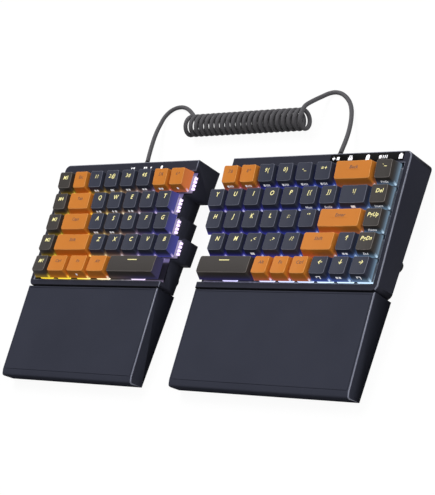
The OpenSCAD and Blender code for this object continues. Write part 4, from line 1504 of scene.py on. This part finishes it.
def softened(node: str, weight: Callable[[Vector, Vector], float], width: float,
             cutter: bpy.types.Object | None = None) -> bpy.types.Mesh:
    """A copy of a solid's mesh with rounded edges.

    Args:
        node: The solid to copy.
        weight: How much of the width an edge between two plate-frame points gets, from 0 to 1.
        width: The rounding's width in millimetres.
        cutter: A closed shape to cut away first; it is used up.

    Returns:
        The mesh, with the rounded edges on its second material place, paler as a painted highlight, and on
        its third those at the joint of case and rest, darker as painted shade.
    """
    copy = frame["nodes"][node].data.copy()
    work = bmesh.new()
    work.from_mesh(copy)
    bmesh.ops.remove_doubles(work, verts=work.verts, dist=WELD * MM)
    bmesh.ops.dissolve_limit(work, angle_limit=math.radians(FLAT_TURN), verts=work.verts, edges=work.edges)
    work.to_mesh(copy)
    work.free()
    holder = new_object("softened", copy)
    if cutter:
        cut = holder.modifiers.new("cut", "BOOLEAN")
        cut.object = cutter
        cut.operation = "DIFFERENCE"
        cut.solver = "EXACT"
        copy = evaluated(holder)
        bpy.data.objects.remove(cutter)
        holder = new_object("softened", copy)
    back = LAYOUT.to_model.inverted()
    work = bmesh.new()
    work.from_mesh(copy)
    layer = work.edges.layers.float.new("bevel_weight_edge")
    for edge in work.edges:
        if len(edge.link_faces) == 2 and edge.calc_face_angle(0.0) > math.radians(EDGE_TURN):
            edge[layer] = weight(back @ edge.verts[0].co, back @ edge.verts[1].co)
    for face in work.faces:
        face.smooth = True
    work.to_mesh(copy)
    work.free()
    bevel = holder.modifiers.new("rounding", "BEVEL")
    bevel.limit_method = "WEIGHT"
    bevel.width = width * MM
    bevel.segments = ROUND_STEPS
    bevel.use_clamp_overlap = False
    bevel.material = 1
    flat = holder.modifiers.new("flat faces", "WEIGHTED_NORMAL")
    flat.keep_sharp = False
    copy.materials.clear()
    for finish in (CASE_SLATE, CASE_EDGE_PAINTED_HIGHLIGHT):
        copy.materials.append(finish.material())
    made = evaluated(holder)
    made.materials.append(JOINT_SHADE.material())
    # painted shade: rounded edges at the joint of case and rest take the dark third material
    for face in made.polygons:
        if face.material_index == 1 and JOINT[0] < (back @ face.center).y < JOINT[1]:
            face.material_index = 2
    return made


@dataclass
class CaseHalf:
    """One half's case: upper case, cover, switches and the small parts that belong to them.

    A switch's levels are its half width and height over the plate, from the lower body over the flange into
    the open well. A rib's span is its near end, far end and height.
    """

    side: Side
    rim_round: float = 0.8
    fine_round: float = 0.45
    rim_reach: float = 0.05
    side_reach: float = 5.05
    strip_clear: float = 0.8
    levels: tuple = (
        (6.8, -5.0), (6.8, 0.0), (7.7, 0.0), (7.7, 0.9), (6.7, 1.1), (6.3, 2.6), (5.7, 4.5), (5.4, 5.0),
        (3.8, 5.0), (3.8, 1.5),
    )
    corner: float = 0.6
    rib_spans: tuple = ((6.2, 9.0, 1.1), (9.0, 9.72, 3.0))
    rib_places: tuple = (-4.6, -1.6, 1.6, 4.6)
    rib_width: float = 1.8
    rib_foot: float = 0.1
    lit_from: float = 5.4
    lit_height: float = 1.0
    dark_depth: float = 1.0
    faint: float = 0.02
    half_lit: float = 0.15

    @property
    def body(self) -> str:
        """The half's body in the frame."""
        return f"{self.side.word}_half"

    def node(self, name: str) -> str:
        """A solid's name with the half's word before it."""
        return f"{self.side.word}_{name}"

    def _edge_weight(self, first: Vector, second: Vector) -> float:
        """Rounding of the upper case's edges: wide round the top's outer edge, fine round the opening.

        Args:
            first: One end of an edge, in the plate frame.
            second: The other end.

        Returns:
            The share of the full rounding.
        """
        if abs(first.z) > SNUG or abs(second.z) > SNUG:
            return 0.0
        side = LAYOUT.grid_half + LAYOUT.side_rim - self.side_reach
        back = LAYOUT.case_depth - self.rim_reach
        outer = all(p.y < self.rim_reach or p.y > back or abs(p.x) > side for p in (first, second))
        if not outer and min(first.y, second.y) > LAYOUT.case_depth - LAYOUT.back_rim + self.strip_clear:
            return 0.0
        return 1.0 if outer else self.fine_round / self.rim_round

    def upper(self) -> None:
        """The upper case with rounded edges."""
        mesh = softened(self.node("upper_case"), self._edge_weight, self.rim_round)
        piece = new_object(f"{self.side.word}_case", mesh)
        settle(piece, self.body, (self.node("upper_case"),))

    def _switch(self, in_front: bool, at_split: bool) -> bpy.types.Mesh:
        """One switch housing; ribs stand beside a row's last cap.

        Args:
            in_front: Whether light shows on its front, under the front row.
            at_split: Whether light shows on its split side, at the end of a row.

        Returns:
            The mesh in metres, about the key's middle on the plate.
        """
        plate = -LAYOUT.plate_drop
        buffer = Buffer()
        rings = ((outline((-half, -half), (half, half), self.corner, 1, 1, 2), plate + z)
                 for half, z in self.levels)
        buffer.loft([[Vector((x, y, z)) for x, y in flat] for flat, z in rings])
        ribs_from = len(buffer.points)
        split = -self.side.value
        for y in self.rib_places if at_split else ():
            for near, far, height in self.rib_spans:
                inner, outer = sorted((split * near, split * far))
                buffer.box((inner, y - self.rib_width / 2, plate + self.rib_foot),
                           (outer, y + self.rib_width / 2, plate + height))
        for i, point in enumerate(buffer.points):
            at_front = in_front and point.y < -self.lit_from and point.z < plate + self.lit_height
            glow = 1.0 if at_front else self.faint
            if at_split and split * point.x > self.lit_from:
                glow = 1.0 if i >= ribs_from else max(glow, self.half_lit)
            buffer.glow[i] = 0.0 if point.z < plate - self.dark_depth else glow
        return buffer.mesh("switch", Matrix.Scale(MM, 4), CRISP)

    def switches(self, repeat: Repeat) -> None:
        """The switch housings, one under each key.

        Args:
            repeat: The tree that sets copies on points.
        """
        places: dict[tuple[bool, bool], list[Vector]] = {}
        rows = LAYOUT.rows(self.side)
        for row, index in LAYOUT.every_key(self.side):
            y = LAYOUT.row_front(row) + LAYOUT.key_pitch / 2
            last = index == len(rows[row - 1]) - 1 and LAYOUT.units(self.side, row, index) < WIDE_KEY
            kind = (row == len(rows), last)
            place = LAYOUT.to_model @ Vector((LAYOUT.key_x(self.side, row, index), y, 0))
            places.setdefault(kind, []).append(place)
        finish = SWITCH_LIT.material()
        meshes = [repeat.on(self._switch(*kind), spots, LAYOUT.typing_angle, finish)
                  for kind, spots in places.items()]
        name = f"{self.side.word}_switches"
        piece = new_object(name, joined(name, meshes, finish))
        settle(piece, self.body, (self.node("switch_housings"),))

    def small_parts(self) -> None:
        """Finishes of the solids that keep their own shape."""
        for name, finish in {
            "bottom_cover": COVER_BLACK, "switch_plate": PLATE_LIT, "circuit_board": SOLDER_MASK,
            "switch_springs": STEEL, "stabilizers": GUIDE_BLACK, "case_screws": BLACK_STEEL,
            "case_feet": FOOT_RUBBER, "case_magnets": NICKEL, "cord_plug": PLUG_BLACK,
        }.items():
            dress(self.node(name), finish)
        dress("left_ports" if self.side is Side.LEFT else "right_port", STEEL)

    def build(self, repeat: Repeat) -> None:
        """Builds and dresses the half."""
        self.upper()
        self.switches(repeat)
        self.small_parts()


@dataclass
class StatusMarks:
    """Small lights printed on the back rim: a gloss strip on the right half, bare marks on the left.

    A mark has its distance from the outermost keys' edge, and a step of the strip's edge its inset and
    height.
    """

    lift: float = 0.05
    window_length: float = 70.0
    window_depth: float = 6.7
    window_inset: float = 1.2
    window_setback: float = 1.2
    window_thick: float = 1.2
    window_rise: float = 0.15
    window_corner: float = 1.6
    window_edge: tuple = ((0.0, -0.2), (0.06, -0.06), (0.2, 0.0))
    strip_scale: float = 1.6
    rim_scale: float = 1.0
    strip_marks: tuple = (
        (65.5, Mark.LINK), (51.4, Mark.LOCK), (34.8, Mark.CELL), (19.9, Mark.BARS), (3.9, Mark.CELL),
    )
    left_marks: tuple = ((78.6, Mark.LINK), (93.4, Mark.TWINS), (100.0, Mark.DOT), (112.4, Mark.CELL))
    left_mark_y: float = 106.3
    printing: Print = Print()

    def _printed(self, name: str, side: Side, marks: tuple, y: float, scale: float,
                 rise: float = 0.0) -> None:
        """Prints signs in a line along the rim.

        Args:
            name: The piece's name.
            side: The half that carries them.
            marks: The signs, each with its distance.
            y: Their place along the plate.
            scale: How much larger they are printed.
            rise: Height of the surface over the rim.
        """
        buffer = Buffer()
        for distance, mark in marks:
            points, faces = self.printing.sign(mark, scale)
            shift = Vector((LAYOUT.across(side, distance), y, self.lift + rise))
            buffer.add([LAYOUT.to_model @ (p + shift) for p in points], faces)
        settle(new_object(name, buffer.mesh(name), WHITE_INK.material()), f"{side.word}_half")

    def build(self) -> None:
        """Builds the gloss strip and the marks."""
        back = LAYOUT.case_depth - self.window_setback
        right = LAYOUT.across(Side.RIGHT, self.window_inset)
        low, high = (right - self.window_length, back - self.window_depth), (right, back)
        levels = ((0.0, -self.window_thick),
                  *((inset, self.window_rise + z) for inset, z in self.window_edge))
        rings = []
        for inset, z in levels:
            flat = outline((low[0] + inset, low[1] + inset), (high[0] - inset, high[1] - inset),
                           self.window_corner, 2, 1, 6)
            rings.append([Vector((x, y, z)) for x, y in flat])
        buffer = Buffer()
        buffer.loft(rings)
        mesh = buffer.mesh("status_strip", LAYOUT.to_model, CRISP)
        piece = new_object("status_strip", mesh, WINDOW_BLACK.material())
        settle(piece, "right_half", ("status_window",))
        self._printed("status_strip_marks", Side.RIGHT, self.strip_marks, back - self.window_depth / 2,
                      self.strip_scale, self.window_rise)
        self._printed("left_rim_marks", Side.LEFT, self.left_marks, self.left_mark_y, self.rim_scale)


@dataclass
class WristRest:
    """One wrist rest: shell with rounded edges and the groove round its pad."""

    side: Side
    depth: float = 80.6
    gap: float = 0.4
    outer_reach: float = 4.7
    split_reach: float = 1.3
    crease: float = 5.0
    border: float = 1.7
    groove_width: float = 0.5
    groove_depth: float = 0.5
    groove_corner: float = 1.4
    crease_gap: float = 0.4
    cut_rise: float = 2.0
    edge_round: float = 0.8
    upright_depth: float = 12.0

    @property
    def body(self) -> str:
        """The rest's body in the frame."""
        return f"{self.side.word}_rest"

    def _spans(self) -> tuple[Flat, Flat]:
        """The top's extent in the plate frame.

        Returns:
            Its low and its high corner.
        """
        row = len(LAYOUT.rows(self.side))
        ends = sorted((LAYOUT.across(self.side, -self.outer_reach),
                       LAYOUT.across(self.side, LAYOUT.row_end(self.side, row) + self.split_reach)))
        return (ends[0], -(self.gap + self.depth)), (ends[1], -self.gap)

    def _groove(self) -> bpy.types.Object:
        """A ring that cuts the groove round the pad.

        Returns:
            The cutting shape.
        """
        low, high = self._spans()
        front = low[1] + self.crease + self.crease_gap
        back = high[1] - self.border
        steps = ((0.0, -self.groove_depth), (0.0, self.cut_rise), (self.groove_width, self.cut_rise),
                 (self.groove_width, -self.groove_depth))
        rings = []
        for inset, z in steps:
            near = (low[0] + self.border + inset, front + inset)
            far = (high[0] - self.border - inset, back - inset)
            flat = outline(near, far, self.groove_corner - inset, 1, 1, 6)
            rings.append([Vector((x, y, z)) for x, y in flat])
        buffer = Buffer()
        buffer.add([p for ring in rings for p in ring], bands(len(rings), len(rings[0]), closed=True))
        return new_object("groove", buffer.mesh("groove", LAYOUT.to_model))

    def _edge_weight(self, first: Vector, second: Vector) -> float:
        """Rounds the top's back and side edges and the front's upright ends.

        Args:
            first: One end of an edge, in the plate frame.
            second: The other end.

        Returns:
            1 for a rounded edge and 0 for one that stays.
        """
        low, high = self._spans()
        side = all(min(abs(p.x - low[0]), abs(p.x - high[0])) < SNUG for p in (first, second))
        back = all(abs(p.y - high[1]) < SNUG and abs(p.z) < SNUG for p in (first, second))
        top = all(p.z > -self.upright_depth for p in (first, second))
        return 1.0 if back or (side and top) else 0.0

    def build(self) -> None:
        """Builds and dresses the rest."""
        node = f"{self.side.word}_rest_shell"
        mesh = softened(node, self._edge_weight, self.edge_round, self._groove())
        mesh.materials[0] = REST_SLATE.material()
        settle(new_object(f"{self.side.word}_rest_cover", mesh), self.body, (node,))
        dress(f"{self.side.word}_rest_bottom", COVER_BLACK)
        dress(f"{self.side.word}_rest_feet", FOOT_RUBBER)
        dress(f"{self.side.word}_rest_magnets", NICKEL)


@dataclass
class LinkCord:
    """The coiled cord between the halves, along the frame's own route in millimetres."""

    diameter: float = 3.6
    turns: float = 21.5
    pitch: float = 6.0
    radius: float = 7.8
    start_x: float = -77.3
    coil_y: float = 141.0
    lift: float = 1.9
    steps_per_turn: int = 24
    steps_per_stretch: int = 6
    sides: int = 16
    left_socket: float = 71.8
    right_socket: float = 80.2
    socket_drop: float = 19.5
    plug_reach: float = 10.3
    start_turn: float = -90.0
    lead_in: float = 6.0
    left_points: tuple = (
        (-111, 113, 11.6), (-113.3, 121.5, 10.4), (-115.8, 130.6, 8.8), (-118.2, 139.8, 6.6),
        (-119.8, 148.6, 4.2), (-119.8, 156, 2.7), (-116.6, 161.9, 1.9), (-110.5, 165, 1.9),
        (-103, 165.5, 1.9), (-95.6, 163.1, 1.9), (-88.6, 158.4, 1.9), (-82.8, 153, 1.9), (-79, 148.8, 1.9),
    )
    right_points: tuple = (
        (52.2, 149.4, 16.4), (53.2, 154.3, 13.2), (54.4, 159.2, 9.4), (56.2, 164, 5.6), (59.6, 167.9, 3.1),
        (64.8, 169.4, 1.9), (71.6, 167.8, 1.9), (78, 164, 1.9), (83.6, 158.6, 1.9), (88.3, 151.8, 2.7),
        (92.2, 144, 4.1), (95.8, 135.4, 6.2), (98.9, 126.2, 8.6), (100.8, 116.6, 10.7),
    )

    def _plug_end(self, side: Side, distance: float) -> Vector:
        """Where the cord leaves a plug's strain relief, in metres."""
        y = LAYOUT.case_depth + self.plug_reach
        return LAYOUT.to_model @ Vector((LAYOUT.across(side, distance), y, -self.socket_drop))

    def _coil(self) -> list[Vector]:
        """The coil's own line.

        Returns:
            Its points in metres.
        """
        middle = Vector((0, self.coil_y, self.lift + self.radius))
        points = []
        for i in range(int(self.turns * self.steps_per_turn) + 1):
            turn = math.radians(self.start_turn - i * 360 / self.steps_per_turn)
            along = self.start_x + i * self.pitch / self.steps_per_turn
            off = Vector((along, self.radius * math.cos(turn), self.radius * math.sin(turn)))
            points.append((middle + off) * MM)
        return points

    def _eased(self, points: Sequence[Vector], before: Vector, after: Vector) -> list[Vector]:
        """A smooth line through points.

        Args:
            points: The points.
            before: A point before the first, which sets the direction there.
            after: A point after the last, which sets the direction there.

        Returns:
            The line's points.
        """
        chain = [before, *points, after]
        line = []
        for i in range(1, len(chain) - 2):
            a, b, c, d = chain[i - 1:i + 3]
            for k in range(self.steps_per_stretch):
                t = k / self.steps_per_stretch
                line.append(0.5 * (2 * b + (c - a) * t + (2 * a - 5 * b + 4 * c - d) * t ** 2
                                   + (3 * b - a - 3 * c + d) * t ** 3))
        line.append(chain[-2].copy())
        return line

    def path(self) -> list[Vector]:
        """The cord's middle line from plug to plug.

        Returns:
            Its points in metres.
        """
        coil = self._coil()
        lean = math.radians(LAYOUT.typing_angle)
        out = Vector((0, math.cos(lean), math.sin(lean))) * self.lead_in * MM
        left = self._plug_end(Side.LEFT, self.left_socket)
        right = self._plug_end(Side.RIGHT, self.right_socket)
        straight = Vector((0, self.diameter * MM, 0))
        entry = [left, *(Vector(p) * MM for p in self.left_points), coil[0] + straight]
        leave = [coil[-1] + straight, *(Vector(p) * MM for p in self.right_points), right]
        return [*self._eased(entry, left - out, coil[0]), *coil, *self._eased(leave, coil[-1], right - out)]

    def build(self, tube: PathTube) -> None:
        """Args:
            tube: The tree that sweeps a section along a path.
        """
        path = self.path()
        mesh = tube.along(path, self.diameter / 2 * MM, self.sides, SHEATH_BLACK.material())
        piece = new_object("link_cord", mesh)
        coil = self._coil()
        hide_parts("left_cord_lead", "cord_coil", "right_cord_lead")
        length = sum((b - a).length for a, b in zip(path, path[1:]))
        tuple(path[0])
        [tuple(p) for p in path]
        tuple(coil[0])
        tuple(coil[-1])
        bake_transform(piece)
        log.info("link_cord between the halves: %.3f m, %d faces", length, len(mesh.polygons))


@dataclass
class Studio:
    """Camera, lamps, white surroundings and the pale floor, in metres; a lamp has its place and power."""

    camera_place: tuple = (1.01705, -0.48, 0.97495)
    camera_right: tuple = (0.73247, 0.31488, -0.60361)
    camera_down: tuple = (-0.00075, -0.88624, -0.46322)
    focal_pixels: float = 1876.12
    long_side: int = 495
    sensor: float = 36.0
    sight: float = 100.0
    lamp_size: float = 1.2
    lamps: tuple = (("key_lamp", (-0.7, 0.9, 1.7), 31), ("fill_lamp", (1.7, 0.1, 1.3), 22))
    floor_size: float = 30.0
    floor_colour: Colour = (0.36, 0.36, 0.36, 1.0)
    floor_glow: float = 0.8
    floor_white: float = 1.17
    floor_drop: float = 0.0002
    sky: float = 0.26

    def camera(self) -> None:
        """The camera at the photograph's place."""
        data = bpy.data.cameras.new("camera")
        data.sensor_width = self.sensor
        data.sensor_fit = "AUTO"
        data.lens = self.focal_pixels / self.long_side * self.sensor
        data.clip_end = self.sight
        made = new_object("camera", data)
        right = Vector(self.camera_right).normalized()
        up = -Vector(self.camera_down)
        back = right.cross(up).normalized()
        up = back.cross(right)
        turn = Matrix((right, up, back)).transposed().to_4x4()
        made.matrix_world = Matrix.Translation(self.camera_place) @ turn
        bpy.context.scene.camera = made

    def lamp(self, name: str, place: tuple, power: float) -> None:
        """A soft square lamp that faces the keyboard.

        Args:
            name: The lamp's name.
            place: Where it stands.
            power: Its power in watts.
        """
        data = bpy.data.lights.new(name, "AREA")
        data.shape = "SQUARE"
        data.size = self.lamp_size
        data.energy = power
        made = new_object(name, data)
        made.location = place
        made.rotation_mode = "QUATERNION"
        made.rotation_quaternion = (-Vector(place)).to_track_quat("-Z", "Y")

    @staticmethod
    def _seen(graph: Graph) -> Wire:
        """Which rays show the white surroundings.

        Args:
            graph: The shader tree that takes the nodes.

        Returns:
            1 for rays that the camera sees, straight or by a reflection, and 0 for those that light the
            object.
        """
        straight, mirrored, through = (graph.add("ShaderNodeLightPath", {}, {}, f"Is {kind} Ray")
                                       for kind in ("Camera", "Glossy", "Transmission"))
        return (straight + mirrored + through).least(1.0)

    def world(self) -> None:
        """White surroundings that light the object at a plain level."""
        world = bpy.data.worlds.new("surroundings")
        bpy.context.scene.world = world
        world.use_nodes = True
        graph = Graph(world.node_tree)
        light = graph.add("ShaderNodeBackground", {}, {"Color": WHITE, "Strength": self.sky})
        shown = graph.add("ShaderNodeBackground", {}, {"Color": WHITE, "Strength": 1.0})
        both = graph.add("ShaderNodeMixShader", {}, {0: self._seen(graph), 1: light, 2: shown})
        graph.add("ShaderNodeOutputWorld", {}, {"Surface": both}, None)

    def floor(self) -> None:
        """The pale floor, which keeps the shadow."""
        half = self.floor_size / 2
        mesh = bpy.data.meshes.new("floor")
        corners = [(-half, -half, 0), (half, -half, 0), (half, half, 0), (-half, half, 0)]
        mesh.from_pydata(corners, [], [(0, 1, 2, 3)])
        material = bpy.data.materials.new("floor")
        material.use_nodes = True
        graph = Graph(material.node_tree)
        matt = graph.add("ShaderNodeBsdfDiffuse", {}, {"Color": self.floor_colour})
        white = graph.add("ShaderNodeEmission", {}, {"Color": WHITE, "Strength": self.floor_white})
        share = self._seen(graph) * self.floor_glow
        both = graph.add("ShaderNodeMixShader", {}, {0: share, 1: matt, 2: white})
        graph.add("ShaderNodeOutputMaterial", {}, {"Surface": both}, None)
        piece = new_object("floor", mesh, material)
        piece.location.z = -self.floor_drop
        piece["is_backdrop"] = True

    def build(self) -> None:
        """Sets up the studio."""
        scene = bpy.context.scene
        scene.view_settings.view_transform = "Standard"
        self.camera()
        for name, place, power in self.lamps:
            self.lamp(name, place, power)
        self.world()
        self.floor()


def main() -> None:
    """Builds the studio, the cord and the sub-assemblies."""
    logging.basicConfig(level=logging.INFO, format="%(name)s: %(message)s")
    Studio().build()
    LinkCord().build(PathTube())
    repeat = Repeat()
    for side in Side:
        CaseHalf(side).build(repeat)
        WristRest(side).build()
    StatusMarks().build()
    for bank in BANKS:
        bank.build(repeat)
    boxes = {"cad": CAD_BOX, "visual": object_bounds()}
    {name: [list(corner) for corner in box] for name, box in boxes.items()}


if __name__ == "__main__":
    main()
